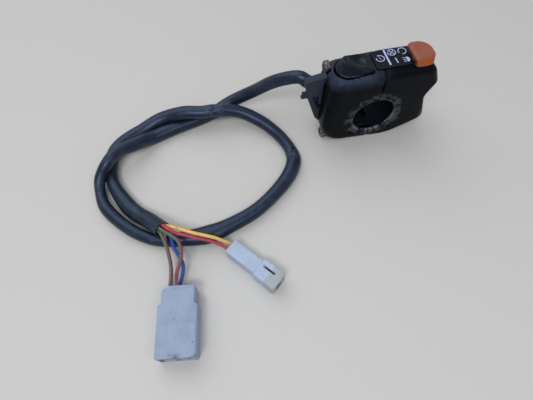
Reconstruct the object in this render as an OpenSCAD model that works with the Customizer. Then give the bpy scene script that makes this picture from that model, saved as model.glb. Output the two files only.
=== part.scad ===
// Handlebar switch cluster: starter button, engine kill slider and wiring loom.
// Two moulded halves clamp round the handlebar and hold both switches.
// Millimetres. The origin is on the handlebar axis at mid depth, +X points to the kill
// switch, +Y to the back of the housing and +Z up. The part stands on its sole.

/* [Housing] */
// Diameter of the handlebar bore
bore_d = 22.2; // [21.6:0.1:22.8]
// Depth of the housing along the handlebar
depth = 20; // [20:0.5:23]
// Height of the crown of the top face above the handlebar axis
top_h = 28.5; // [28.5:0.25:31]
// Reach of the cable end from the handlebar axis
left_reach = 27; // [27:0.25:30]
// Reach of the nose below the kill knob
nose_reach = 30.4; // [30:0.1:32.6]
// Material under the bore down to the sole
sole = 6.4; // [6.2:0.1:8]
// Wall thickness of both mouldings
wall = 2; // [1.7:0.1:2.2]
// Wall of the half sleeve round the bore in the kill half
sleeve_wall = 1.8; // [1.2:0.1:2]
// Fall of the top face from the crown to the cable end
left_fall = 2; // [1.5:0.1:3]
// Depth of the waist under the nose
waist = 4; // [3:0.1:5]
// Width of the reveal groove along the split
reveal_w = 1.1; // [0.4:0.1:1.2]
// Depth of the reveal groove
reveal_h = 0.9; // [0.3:0.1:1]
// Diameter of the four blind locating holes round the bore
locator_d = 2; // [1.2:0.1:2.4]
// Depth of the blind locating holes
locator_h = 1.2; // [0.6:0.1:1.4]

/* [Clamp screws] */
// Thread diameter of the clamp screws
screw_d = 3.9; // [3.5:0.1:4]
// Diameter of the screw heads
screw_head_d = 6.4; // [6:0.1:6.6]
// Height of the screw heads
screw_head_h = 2.6; // [2:0.1:3]
// Diameter of the brass inserts
insert_d = 5.2; // [5:0.1:5.4]
// Length of the brass inserts
insert_l = 8; // [6:0.5:10]
// Wall of the bosses round the inserts
boss_wall = 0.9; // [0.7:0.1:1.1]

/* [Starter button] */
// Length of the button across the top face
button_l = 16.8; // [15:0.1:17]
// Width of the button along the handlebar
button_w = 12.2; // [11:0.1:12.4]
// Clearance round the button in its pocket
pocket_gap = 0.7; // [0.4:0.1:0.8]
// Lean of the fluted thumb end
thumb_draft = 2.2; // [1:0.1:2.6]
// Height of the thumb ridge above the crown
ridge_rise = 4; // [3:0.1:5]
// Travel of the button
start_travel = 2.5; // [1.5:0.1:2.7]
// Diameter of the plunger under the button
plunger_d = 4.8; // [4:0.1:5.2]
// Wire diameter of the return spring
spring_wire = 0.6; // [0.4:0.1:0.7]
// Turns of the return spring
spring_turns = 4; // [3:1:4]

/* [Kill slider] */
// Length of the knob along its slide
knob_l = 11; // [10:0.1:11.6]
// Width of the knob along the handlebar
knob_w = 13.8; // [12.5:0.1:14]
// Height of the knob above the legend plate
knob_h = 3.4; // [3:0.1:4.4]
// Radius round the top of the knob
knob_round = 1.5; // [0.8:0.1:1.6]
// Slide from run to off
kill_travel = 5; // [3.5:0.25:5]
// Length of the knob's neck in its slot
neck_l = 3.4; // [2.6:0.1:3.6]
// Width of the knob's neck in its slot
neck_w = 6.2; // [5:0.1:6.6]

/* [Legend plate] */
// Width of the plate along the handlebar
plate_w = 11.8; // [10:0.1:12]
// Thickness of the plate
plate_t = 1.4; // [1.2:0.1:1.6]
// Height of the plate above the crown
plate_rise = 0.6; // [0.3:0.1:0.9]
// Reach of the plate past the split into the starter half
plate_lap = 3.6; // [2.5:0.1:3.8]

/* [Cable cover] */
// Length of the cover beyond the cable end
cover_l = 10; // [8.5:0.1:11]
// Depth of the cover along the handlebar
cover_w = 3.9; // [3.6:0.1:4]
// Wall thickness of the cover
cover_wall = 1.5; // [1.2:0.1:1.8]

/* [Loom] */
// Outer diameter of the loom sleeve
sleeve_d = 6.6; // [6:0.1:6.8]
// Outer diameter of one wire
wire_d = 1.8; // [1.5:0.1:1.8]
// Outer diameter of the grommet where the loom leaves
grommet_d = 8.4; // [8.2:0.1:8.6]

/* [Connectors] */
// Length of the large connector
main_l = 30; // [28:0.5:34]
// Width of the large connector
main_w = 17; // [16:0.5:19]
// Height of the large connector
main_h = 11; // [10.5:0.5:13]
// Depth of its socket
main_socket = 11; // [8:0.5:12]
// Length of the small connector
aux_l = 29; // [27:0.5:32]
// Width of the small connector's collar
aux_w = 9.4; // [9:0.1:11]
// Height of the small connector's collar
aux_h = 8.5; // [8:0.1:10]
// Wall thickness of both connectors
conn_wall = 1.2; // [1:0.1:1.5]

/* [Fits] */
// Clearance beside a sliding or pressed piece
slide_gap = 0.3; // [0.2:0.05:0.4]
// Clearance round a fixed piece in its seat
seat_gap = 0.1; // [0.05:0.01:0.15]

/* [Hidden] */
$fn = 48;
eps = 0.01;
far = 60;

// Profile of the housing seen from the front
bore_r = bore_d / 2;
sole_z = -(bore_r + sole);
heel_x = nose_reach + 1;
heel_z = sole_z + 8.5;
sole_x = 12;
waist_x = nose_reach - waist;
waist_z = top_h - 20.5;
nose_z = top_h - 11.4;
brow_x = nose_reach - 5;
brow_z = top_h - 0.4;
front_y = -depth / 2;
arc_step = 11;
least_edge = 0.4;
edge_turns = [0, 22.5, 45, 67.5];
overrun = 1.5;
// Corners: x, z, corner radius, front edge radius, back edge radius
PROFILE = [
    [-left_reach, sole_z, 13, 3.5, 2.5],
    [sole_x, sole_z, 20, 1.4, 2],
    [heel_x, heel_z, 5, 2.2, 2.5],
    [waist_x, waist_z, 7, 2.4, 2.5],
    [nose_reach, nose_z, 3.8, 2.8, 3],
    [brow_x, brow_z, 6.5, 3, 5],
    [0, top_h, 80, 3.6, 5.2],
    [-left_reach, top_h - left_fall, 8, 5.5, 5.2],
];

// Levels of the two switches under the top face
deck_z = top_h - 10.3;
deck_t = 2.2;
ledge_t = 2.8;
ledge_z = deck_z - deck_t;

// Clamp screws: places on the split plane and seats of the heads
screw_wall = 1;
low_screw = [-3.5, -(bore_r + screw_wall + screw_d / 2 + seat_gap)];
high_screw = [depth / 2 - 3.6, top_h - 5];
low_seat = -left_reach + 3.6;
high_seat = -left_reach + 3.8;
head_room = screw_head_d / 2 + 2 * seat_gap;
pad_l = 8;
seat_t = 1.5;
screw_tip = 11;
boss_r = insert_d / 2 + seat_gap + boss_wall;
boss_end = 13;
insert_x = 1.5;
// Edge of the half sleeve, set back from the split
sleeve_edge = 1.9;

// Starter button
start_x = -left_reach + 13.4;
button_y = -0.3;
thumb_r = 5.6;
flute_step = 6;
flute_h = 0.3;
button_foot = top_h - 4.5;
button_top = top_h + ridge_rise;
button_lip = top_h + 0.9;
bridge_t = 0.8;
bridge_z = deck_z - 5.8;
bridge_half = 4.9;
foot_z = bridge_z - start_travel - slide_gap;
strap_t = 0.8;
strap_in = 5.8;
strap_half = 2;
spring_r = plunger_d / 2 + spring_wire / 2 + slide_gap + 0.2;

// Kill slider
plate_top = top_h + plate_rise;
neck_right = nose_reach - 7.4;
slot_left = neck_right - neck_l - kill_travel - slide_gap;
plate_x = slot_left - seat_gap;
knob_x = neck_right + 2 - knob_l;
knob_y = -1.5;
knob_neck_y = [-neck_w / 2 - 0.9, neck_w / 2 - 0.9];
knob_low = plate_top + slide_gap;
neck_in = 1.4;
knob_top = plate_top + knob_h;
carrier_top = brow_z - wall - 3 * slide_gap;
carrier_t = 1.5;
carrier_left = neck_right - 10.6;
carrier_right = neck_right + 0.8;
carrier_y = [-5.4, 2.3];
leg_x = [carrier_left + 3, carrier_right];
leg_y = [-3.5, 1.6];
pad_t = 0.7;
wiper_t = 0.8;
wiper_z = deck_z + pad_t + slide_gap;
detent_x = leg_x[0] + 2;
detent_h = 0.7;
leaf_t = 0.4;
leaf_y = leg_y[1] + 0.4;
leaf_x = [detent_x - 8.9, detent_x + 5.1];
leaf_tab = 3;
pad_x = [[neck_right - 9, neck_right - 5.6], [neck_right - 2.4, neck_right + 0.2]];
tail_x = [[neck_right - 7.8, neck_right - 6.8], [neck_right - 1.6, neck_right - 0.6]];
tail_y = [1.2, 2];

// Small screws that hold the contact bases on their ledges
start_screws = [[start_x - 8.3, -2.2], [-3.3, -2.2]];
kill_screws = [[3.3, -2.2], [neck_right - 1.8, -4.6]];
base_screw_d = 2.2;
base_head_d = 4;
base_head_h = 1.4;
base_screw_l = 4.4;

// Cable exit at the left end
exit_y = depth / 2 - 5.2;
exit_z = top_h - 13.3;
grommet_in = -left_reach + wall + 1;
inner_d = 1.6;
cover_in = exit_y - grommet_d / 2 - seat_gap;
cover_y = [cover_in - cover_wall, cover_in - cover_wall + cover_w];
cover_top = top_h - 6.2;
cover_rise = 1.9;
cover_low = sole_z + 11;
latch_l = 1.9;
latch_z = [3.5, 5.7];

// Loom route from the housing to its cut end
SLEEVE_ROUTE = [
    [-left_reach + 2.5, exit_y, exit_z], [-left_reach - 3, exit_y, exit_z], [-33.5, 6, 16.4],
    [-37, 8.2, 17.6], [-42.5, 11.6, 15], [-49.5, 16.4, 9.2], [-58, 21.5, -1], [-69, 25, -9],
    [-80, 23.5, -13], [-90, 19.5, -14], [-103, 16, -14], [-117, 11.5, -13], [-127, 6.5, -9.5],
    [-135, 1, -6.6], [-141, -4, -7.2], [-145.8, -10, -11.6], [-146.6, -17, -14],
    [-144.2, -27.4, -14], [-135.5, -39.2, -14], [-125.6, -46.6, -14], [-117, -50.1, -14],
    [-106, -51.4, -14], [-96, -52.2, -14], [-85, -49.5, -14], [-69.5, -43, -14],
    [-53.5, -30.5, -14], [-45.5, -20, -14], [-45, -11.5, -14], [-50, -1.4, -13],
    [-59, 8.2, -11], [-69, 14.8, -8.5], [-80, 17, -6.8], [-89, 18, -6.6], [-99, 20.8, -7.4],
    [-112, 21.6, -11.5], [-128, 15.2, -14], [-137, 8, -14], [-139.9, -1.5, -14],
    [-139.3, -13, -14], [-132, -28.5, -14], [-122, -39.5, -11.5], [-116.3, -47.3, -7.5],
];
// Wire routes from the sleeve's cut end into the connectors
YELLOW_ROUTE = [
    [-114.3, -46.1, -7.1], [-113.4, -46.8, -6.6], [-108.2, -49.8, -6], [-102.4, -52.9, -6.4],
    [-97.3, -55.1, -7], [-93, -56.7, -8.4], [-89.6, -58.1, -10.6], [-85.5, -60.1, -13.3],
    [-82.3, -64, -13.3],
];
RED_ROUTE = [
    [-115.8, -46.2, -5.7], [-114.9, -47.3, -5.2], [-113.2, -49.2, -5.2], [-110.4, -50.9, -6.9],
    [-106.4, -52.6, -7.6], [-101.6, -54.8, -8.4], [-97, -56.5, -9.4], [-92.2, -58.6, -11.4],
    [-87.7, -61.9, -13.3], [-84.5, -65.8, -13.3],
];
GREEN_A_ROUTE = [
    [-118, -48.6, -7.2], [-117.3, -49.8, -6.7], [-115.6, -55.5, -6.7], [-114.7, -61.9, -7.4],
    [-114.6, -66.9, -8.2], [-115.5, -71.5, -9.6], [-116.3, -74.9, -10.1], [-117.2, -80.8, -10.1],
];
GREEN_B_ROUTE = [
    [-117.4, -47.4, -5.7], [-116.6, -48.6, -5.1], [-113.6, -51.6, -4.8], [-110, -55.5, -4.8],
    [-108.8, -59.2, -5], [-109, -62.8, -5.6], [-110.2, -66, -6.6], [-112.2, -69.4, -8],
    [-113.2, -72.4, -9.8], [-113.2, -75.4, -10.1], [-114.1, -81.3, -10.1],
];
BLUE_ROUTE = [
    [-115, -47.3, -8.9], [-114.2, -48.5, -8.3], [-113.2, -52, -8.2], [-112.5, -57, -8.6],
    [-111, -60.7, -9.4], [-109.6, -64.8, -11], [-110.2, -68.4, -12.6], [-111.8, -72, -14],
    [-113.2, -75.4, -14.3], [-114.1, -81.3, -14.3],
];
WHITE_ROUTE = [
    [-116.7, -48.7, -8.9], [-116.3, -49.8, -8.7], [-116, -54.6, -8.9], [-115.1, -61, -9.7],
    [-115, -66, -11], [-115.8, -70.8, -13.2], [-116.3, -74.9, -14.3], [-117.2, -80.8, -14.3],
];

// Places of the wires inside the housing
inner_run_y = depth / 2 - wall - inner_d / 2 - 0.5;
inner_run_z = bore_r + sleeve_wall + inner_d / 2 + 0.4;
loom_x = -left_reach + 2.55;
loom_pair = 1.2;
strap_x = strap_in + strap_t / 2;
contact_y = strap_half + 0.05;
off_x = (tail_x[0][0] + tail_x[0][1]) / 2;
run_x = (tail_x[1][0] + tail_x[1][1]) / 2;
// Routes of the wires inside the housing, from the contacts to the loom
INNER_YELLOW = [
    [start_x + strap_x, contact_y, ledge_z - 4], [start_x + strap_x, contact_y + 1, ledge_z - 4],
    [start_x + 4.6, inner_run_y - 1.7, ledge_z - 4],
    [start_x + 0.6, inner_run_y - 0.3, ledge_z - 4.2],
    [start_x - 5.4, inner_run_y - 0.8, ledge_z - 3.8],
    [loom_x + 1.5, exit_y + loom_pair, exit_z - loom_pair],
    [loom_x, exit_y + loom_pair, exit_z - loom_pair],
];
INNER_RED = [
    [start_x - strap_x, contact_y, ledge_z - 5],
    [start_x - strap_x, contact_y + 0.8, ledge_z - 5],
    [start_x - strap_x - 1, contact_y + 1.4, ledge_z - 4],
    [loom_x + 1.5, exit_y - loom_pair, exit_z - loom_pair],
    [loom_x, exit_y - loom_pair, exit_z - loom_pair],
];
INNER_BLUE = [
    [off_x, contact_y, ledge_z - 1.4], [off_x, contact_y + 1, ledge_z - 1.4],
    [off_x - 1.7, inner_run_y - 1.3, inner_run_z + 1.2],
    [off_x - 6.7, inner_run_y, inner_run_z + 2], [-10, inner_run_y, inner_run_z + 2],
    [start_x - 5.4, inner_run_y - 0.4, exit_z + loom_pair],
    [loom_x + 1.5, exit_y + loom_pair, exit_z + loom_pair],
    [loom_x, exit_y + loom_pair, exit_z + loom_pair],
];
INNER_GREEN = [
    [run_x, contact_y, ledge_z - 1.4], [run_x, contact_y + 1, ledge_z - 1.4],
    [run_x - 1.4, inner_run_y - 1.7, inner_run_z + 0.4],
    [run_x - 5.9, inner_run_y - 0.1, inner_run_z], [-10, inner_run_y - 0.1, inner_run_z],
    [start_x - 6.6, inner_run_y - 1.6, inner_run_z + 0.5],
    [loom_x + 1.5, exit_y - loom_pair, exit_z + loom_pair],
    [loom_x, exit_y - loom_pair, exit_z + loom_pair],
];

// Connectors: rear centre on the floor, turn about Z, cells across and up
main_pos = [-112.2, -75.6];
main_turn = -9;
main_cols = [-4.2, -1, 2.2];
main_rows = [3.2, 7.4];
main_used = [[0, 0], [0, 1], [1, 0], [1, 1]];
main_neck = 8.2;
cell_w = 2.5;
aux_pos = [-86.8, -61.2];
aux_turn = 39.5;
aux_cols = [-1.1, 1.7];
aux_row = 4.2;
aux_neck = 17;
wire_in = 6;
wire_fit = 0.35;
pin_d = 1.4;
pin_tip = -24;
crimp_end = -18.8;

// Vector helpers
function unit(v) = v / norm(v);
function flat(c) = [c[0], c[1]];
function bend(a, b) = atan2(a.x * b.y - a.y * b.x, a * b);
function spin(v, a) = [v.x * cos(a) - v.y * sin(a), v.x * sin(a) + v.y * cos(a)];

// Points of one rounded corner, each with its outward normal and the edge radii
function corner_arc(before, c, after, step) =
    let (
        d0 = unit(flat(c) - flat(before)),
        d1 = unit(flat(after) - flat(c)),
        t = bend(d0, d1),
        n0 = [d0.y, -d0.x],
        centre = flat(c) - d0 * c[2] * tan(abs(t) / 2) - n0 * c[2] * sign(t),
        steps = max(1, ceil(abs(t) / step))
    )
    [for (k = [0:steps]) let (n = spin(n0, t * k / steps))
        concat(centre + n * c[2] * sign(t), n, [c[3], c[4]])];

// A closed outline from corners, counterclockwise
function rounded(corners, step = arc_step) =
    let (n = len(corners))
    [for (i = [0:n - 1], q = corner_arc(corners[(i + n - 1) % n], corners[i],
        corners[(i + 1) % n], step)) q];
function outline(corners) = [for (q = rounded(corners)) flat(q)];

// One ring of the housing's skin, inset by w: side -1 is the front, 1 the back
function skin_ring(pts, w, side, a) = [for (q = pts)
    let (
        r = max(q[side < 0 ? 4 : 5] - w, least_edge),
        inset = w + r * (1 - cos(a))
    )
    [q[0] - q[2] * inset, side * (depth / 2 - w - r * (1 - sin(a))), q[1] - q[3] * inset]];

// End ring that runs on past the flat face, where a slab then cuts the skin
function end_ring(pts, w, side) =
    let (
        a = skin_ring(pts, w, side, edge_turns[len(edge_turns) - 1]),
        b = skin_ring(pts, w, side, 90)
    )
    [for (i = [0:len(pts) - 1]) a[i] + (b[i] - a[i]) * overrun];

// Faces of a lofted solid of equal rings, closed at both ends
function loft_faces(rings, n) = concat(
    [[for (j = [n - 1:-1:0]) j]],
    [for (i = [0:rings - 2], j = [0:n - 1], half = [0, 1])
        let (k = (j + 1) % n, a = i * n + j, b = i * n + k, c = b + n, d = a + n)
        half == 0 ? [a, b, c] : [a, c, d]],
    [[for (j = [0:n - 1]) (rings - 1) * n + j]]
);

module loft(rings) {
    polyhedron([for (r = rings, p = r) p], loft_faces(len(rings), len(rings[0])));
}

// The housing's rounded outer form, inset by w
module skin(w) {
    pts = rounded(PROFILE);
    flat_y = depth / 2 - w;
    rings = concat(
        [end_ring(pts, w, -1)],
        [for (i = [len(edge_turns) - 1:-1:0]) skin_ring(pts, w, -1, edge_turns[i])],
        [for (a = edge_turns) skin_ring(pts, w, 1, a)],
        [end_ring(pts, w, 1)]
    );
    intersection() {
        loft(rings);
        box([-far, far], [-flat_y, flat_y], [-far, far]);
    }
}

// One ring on a rounded plan, drawn in by a share of each corner's draft and by more, with
// grooves on every second point of fluted corners, at height z[0] + z[1] * x. A loft of such
// rings lists them from the top down
function plan_ring(pts, share, more, z, groove = 0) = [for (i = [0:len(pts) - 1])
    let (
        q = pts[i],
        inset = share * q[4] + more + groove * q[5] * (i % 2),
        p = flat(q) - [q[2], q[3]] * inset
    )
    [p.x, p.y, z[0] + z[1] * p.x]];

// Rings of a tube along a route
function heading(route, i) =
    unit(route[min(i + 1, len(route) - 1)] - route[max(i - 1, 0)]);
function tube_ring(route, i, r, sides) =
    let (t = heading(route, i), s = unit(cross(t, [0, 0, 1])), u = cross(s, t))
    [for (k = [0:sides - 1]) let (a = (k + 0.5) * 360 / sides)
        route[i] + (s * cos(a) + u * sin(a)) * r];

module tube(route, d, sides) {
    loft([for (i = [0:len(route) - 1]) tube_ring(route, i, d / 2, sides)]);
}

// Plain shapes
module box(x, y, z) {
    translate([x[0], y[0], z[0]]) cube([x[1] - x[0], y[1] - y[0], z[1] - z[0]]);
}
module bar_x(x, d, at) {
    translate([x[0], at[0], at[1]]) rotate([0, 90, 0]) cylinder(h = x[1] - x[0], d = d);
}
module bar_y(y, d, at) {
    translate([at[0], y[0], at[1]]) rotate([-90, 0, 0]) cylinder(h = y[1] - y[0], d = d);
}
module bar_z(z, d, at) {
    translate([at[0], at[1], z[0]]) cylinder(h = z[1] - z[0], d = d);
}
module side_wise(y) {
    translate([0, y[1], 0]) rotate([90, 0, 0]) linear_extrude(y[1] - y[0]) children();
}

// Two halves of the housing
module left_side() { box([-far, 0], [-far, far], [-far, far]); }
module right_side() { box([0, far], [-far, far], [-far, far]); }
module reveal() {
    difference() {
        box([-reveal_w / 2, reveal_w / 2], [-far, far], [-far, far]);
        skin(reveal_h);
    }
}
module bore() {
    rim = 0.6;
    bar_y([-far, far], bore_d, [0, 0]);
    for (s = [-1, 1]) translate([0, s * (depth / 2 + eps), 0]) rotate([s * 90, 0, 0])
        cylinder(h = rim, r1 = bore_r + rim, r2 = bore_r);
}
module locators() {
    for (a = [45:90:315])
        bar_y([front_y - 1, front_y + locator_h], locator_d, 15.8 * [cos(a), sin(a)]);
}
module plate_outline(gap) {
    r = 1.2;
    x = [-plate_lap - gap, plate_x + gap];
    y = [-plate_w / 2 - gap, plate_w / 2 + gap];
    polygon(outline([[x[0], y[0], r], [x[1], y[0], r], [x[1], y[1], r], [x[0], y[1], r]]));
}
module plate_seat() {
    translate([0, 0, plate_top - plate_t]) linear_extrude(far) plate_outline(seat_gap);
    box([start_x, eps - plate_lap], [-plate_w / 2, plate_w / 2], [plate_top - plate_t, far]);
}
module ledge(x) { box(x, [-far, 0.8], [ledge_z - ledge_t, ledge_z]); }

// Corners of the button's plan, with the draft of the wall and the fluted ones marked
function button_corners(gap) =
    let (
        l = button_l / 2 + gap,
        y = [button_y - button_w / 2 - gap, button_y + button_w / 2 + gap],
        r = [thumb_r + gap, 1.2 + gap],
        lip_draft = 0.3
    )
    [[-l, y[0], r[0], thumb_draft, 1], [l, y[0], r[1], lip_draft, 0],
        [l, y[1], r[1], lip_draft, 0], [-l, y[1], r[0], thumb_draft, 1]];

// Latch on the end of the starter half that stands in the cover's notch
module cover_latch() {
    box([-left_reach - latch_l, -left_reach + 0.5], [cover_y[0] - 0.5, cover_y[1] - 0.4], latch_z);
}
module starter_half_shell() {
    color("#1d2026") cover_latch();
    color("#1d2026") difference() {
        union() {
            intersection() {
                skin(0);
                left_side();
            }
            bar_x([low_seat, low_seat + pad_l], screw_head_d, low_screw);
        }
        difference() {
            intersection() {
                skin(wall);
                left_side();
            }
            bar_x([-far, 0], screw_head_d + 0.6, low_screw);
            bar_x([-far, high_seat + seat_t], screw_head_d + 2, high_screw);
            ledge([-far, start_x - 6.9]);
            ledge([-5.2, -1.2]);
        }
        bore();
        reveal();
        locators();
        plate_seat();
        translate([start_x, 0, button_foot - start_travel - slide_gap]) linear_extrude(far)
            polygon(outline(button_corners(pocket_gap)));
        bar_x([-far, low_seat], screw_head_d + 1, low_screw);
        box([-far, high_seat], [high_screw.x - head_room - 1.5, far],
            [high_screw.y - head_room, far]);
        for (s = [low_screw, high_screw]) bar_x([-far, far], screw_d + 2 * seat_gap, s);
        bar_x([-far, grommet_in + 1], grommet_d + 2 * seat_gap, [exit_y, exit_z]);
        for (p = start_screws)
            bar_z([ledge_z - ledge_t - 1, ledge_z + eps], base_screw_d + 2 * seat_gap, p);
    }
}

module kill_half_shell() {
    color("#1d2026") difference() {
        intersection() {
            skin(0);
            right_side();
        }
        difference() {
            intersection() {
                skin(wall);
                right_side();
            }
            intersection() {
                bar_y([-far, far], bore_d + 2 * sleeve_wall, [0, 0]);
                box([sleeve_edge, far], [-far, far], [-far, far]);
            }
            bar_x([0, boss_end], 2 * boss_r, low_screw);
            bar_x([0, boss_end], 2 * boss_r, high_screw);
            ledge([1.2, 5.2]);
            ledge([neck_right - 3.5, far]);
        }
        bore();
        reveal();
        locators();
        plate_seat();
        box([slot_left, neck_right + slide_gap],
            [knob_neck_y[0] - slide_gap, knob_neck_y[1] + slide_gap],
            [carrier_top - 1, far]);
        for (s = [low_screw, high_screw]) {
            bar_x([-eps, screw_tip + 1], screw_d + 2 * seat_gap, s);
            bar_x([-eps, insert_x + insert_l], insert_d + 2 * seat_gap, s);
        }
        for (p = kill_screws)
            bar_z([ledge_z - ledge_t - 1, ledge_z + eps], base_screw_d + 2 * seat_gap, p);
    }
}

// Pan head with a cross recess, shank along +X from the seat at x = 0
module clamp_screw(l) {
    r = screw_head_d / 2;
    dome = 0.9;
    difference() {
        rotate([0, 90, 0]) union() {
            rotate_extrude() polygon(concat(
                [[0, 0], [r, 0], [r, dome - screw_head_h]],
                [for (a = [15:15:90])
                    [r - dome * (1 - cos(a)), dome * (1 - sin(a)) - screw_head_h]],
                [[0, -screw_head_h]]
            ));
            cylinder(h = l, d = screw_d);
        }
        for (a = [0, 90]) rotate([a, 0, 0])
            box([-screw_head_h - 1, 1.5 - screw_head_h], [-2, 2], [-0.45, 0.45]);
    }
}
module clamp_screws() {
    color("#9a968c") {
        translate([low_seat, low_screw.x, low_screw.y]) clamp_screw(screw_tip - low_seat);
        translate([high_seat, high_screw.x, high_screw.y]) clamp_screw(screw_tip - high_seat);
    }
}

module threaded_inserts() {
    color("#b08d4a") for (s = [low_screw, high_screw]) difference() {
        bar_x([insert_x, insert_x + insert_l], insert_d, s);
        bar_x([-far, far], screw_d + 2 * seat_gap, s);
        translate([insert_x + insert_l / 2, s.x, s.y]) rotate([0, 90, 0])
            rotate_extrude() translate([insert_d / 2, 0]) square([0.8, 1], center = true);
    }
}

module legend_plate() {
    color("#15171c") translate([0, 0, plate_top - plate_t]) linear_extrude(plate_t)
        plate_outline(0);
}

// Cover over the cable end: a tray, open at the back round the loom, with a blind window
module cover_side(inset) {
    x = -left_reach - cover_l + inset;
    root = -left_reach + 1.2;
    knee_z = cover_top - 10.5;
    polygon(outline([
        [root, cover_low - 2 + inset, 0.2], [root, cover_top + cover_rise - inset, 0.2],
        [x, cover_top - inset, 1.6], [x + 2.2, knee_z, 2],
        [-left_reach - 2.4 + inset / 2, cover_low + 2.4 + inset, 1],
    ]));
}
module cable_cover() {
    window_x = [-left_reach - 5, -left_reach - 3, -left_reach - 1.6];
    window_z = [exit_z - 9.4, exit_z - 3.4];
    window_deep = 0.9;
    tab_z = [10.4, 15.6];
    tab_l = 0.6;
    tray_z = exit_z - 3.8;
    end_x = -left_reach - cover_l;
    color("#22252b") difference() {
        union() {
            side_wise(cover_y) cover_side(0);
            box([end_x - tab_l, end_x + 2.8], [cover_y[0] + 1.2, cover_y[1] - 0.4], tab_z);
        }
        intersection() {
            side_wise([cover_in, far]) cover_side(cover_wall);
            box([-far, far], [-far, far], [tray_z, far]);
        }
        skin(-seat_gap);
        side_wise([-far, cover_in + window_deep]) polygon([
            [window_x[0], window_z[1]], [window_x[1], window_z[0]], [window_x[2], window_z[0]],
            [window_x[2], window_z[1]],
        ]);
        box([-left_reach - latch_l - 2 * seat_gap, -left_reach + 2], [-far, far],
            [latch_z[0] - 2 * seat_gap, latch_z[1] + 2 * seat_gap]);
        bar_x([-far, -left_reach + far], grommet_d + 3, [exit_y + 1.6, exit_z]);
    }
}

module cable_grommet() {
    nose = 2.4;
    color("#26282d") difference() {
        union() {
            bar_x([-left_reach - eps, grommet_in], grommet_d, [exit_y, exit_z]);
            translate([-left_reach - nose, exit_y, exit_z]) rotate([0, 90, 0])
                cylinder(h = nose, d1 = sleeve_d + 0.8, d2 = grommet_d);
        }
        bar_x([-far, far], sleeve_d + 2 * seat_gap, [exit_y, exit_z]);
    }
}

// Thumb button: a fluted round end up to the ridge, then a scooped face that falls to the plate
module start_button() {
    l = button_l / 2;
    shoulder = top_h - 1.5;
    fall = (button_lip - button_top) / (button_l - thumb_draft);
    rim_z = button_lip - fall * l;
    pts = rounded(button_corners(0), flute_step);
    scoop_x = 0.9;
    scoop_r = 9;
    scoop_h = 1.4;
    relief_y = high_screw.x - screw_d / 2 - 2 * slide_gap;
    relief_z = high_screw.y + screw_d / 2 + start_travel + slide_gap;
    color("#16181d") translate([start_x, 0, 0]) {
        difference() {
            loft([
                plan_ring(pts, 1, 0.6, [rim_z, fall]),
                plan_ring(pts, 1, 0.2, [rim_z - 0.15, fall]),
                plan_ring(pts, 1, 0, [rim_z - 0.5, fall], flute_h),
                plan_ring(pts, 0.15, 0, [shoulder + 0.4, 0], flute_h),
                plan_ring(pts, 0, 0, [shoulder, 0]),
                plan_ring(pts, 0, 0, [button_foot, 0]),
            ]);
            translate([scoop_x, button_y, rim_z + fall * scoop_x]) rotate([0, atan(-fall), 0])
                translate([0, 0, scoop_r - scoop_h]) sphere(scoop_r, $fn = 64);
            box([-far, far], [relief_y, far], [-far, relief_z]);
        }
        bar_z([bridge_z + bridge_t, button_foot + 1], plunger_d, [0, 0]);
        bar_z([bridge_z - 0.4, bridge_z + bridge_t + 1], 2.2, [0, 0]);
    }
}

// Return spring between the contact base and the button
module start_return_spring() {
    steps = 8 * spring_turns;
    low = deck_z + spring_wire / 2 + 0.05;
    rise = button_foot - spring_wire - 0.1 - deck_z;
    helix = [for (i = [0:steps]) let (a = 360 * i / 8)
        [start_x + spring_r * cos(a), spring_r * sin(a), low + rise * i / steps]];
    color("#b5b7ba") tube(helix, spring_wire, 6);
}

module start_contact_bridge() {
    color("#c09a4e") difference() {
        box([start_x - bridge_half, start_x + bridge_half], [-1.5, 1.5],
            [bridge_z, bridge_z + bridge_t]);
        bar_z([-far, far], 2.2 + 2 * seat_gap, [start_x, 0]);
    }
}

module start_contact_base() {
    ear_y = [-5, 0.6];
    color("#3a3327") difference() {
        union() {
            box([start_x - 10, start_x - 6], ear_y, [ledge_z, deck_z]);
            box([start_x - 6.5, -1.4], [-6.8, 5.2], [ledge_z, deck_z]);
            bar_z([bridge_z + bridge_t + seat_gap, deck_z], plunger_d + 3, [start_x, 0]);
        }
        bar_z([-far, far], plunger_d + 2 * seat_gap, [start_x, 0]);
        for (p = start_screws) bar_z([-far, far], base_screw_d + 2 * seat_gap, p);
    }
}

module start_fixed_contacts() {
    strap = strap_in + strap_t;
    color("#c09a4e") for (s = [0, 1]) translate([start_x, 0, 0]) mirror([s, 0, 0]) {
        box([strap_in, strap], [-strap_half, strap_half], [foot_z - 0.6, ledge_z]);
        box([bridge_half - 1.7, strap], [-strap_half, strap_half], [foot_z - 0.6, foot_z]);
    }
}

module base_screw() {
    difference() {
        union() {
            bar_z([-base_screw_l, eps], base_screw_d, [0, 0]);
            cylinder(h = base_head_h, d1 = base_head_d, d2 = base_head_d - 1);
        }
        for (a = [0, 90]) rotate([0, 0, a])
            box([-1.2, 1.2], [-0.25, 0.25], [base_head_h - 0.7, far]);
    }
}
module start_base_screws() {
    color("#a9a59a") for (p = start_screws) translate([p.x, p.y, deck_z]) base_screw();
}
module kill_base_screws() {
    color("#a9a59a") for (p = kill_screws) translate([p.x, p.y, deck_z]) base_screw();
}

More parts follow.
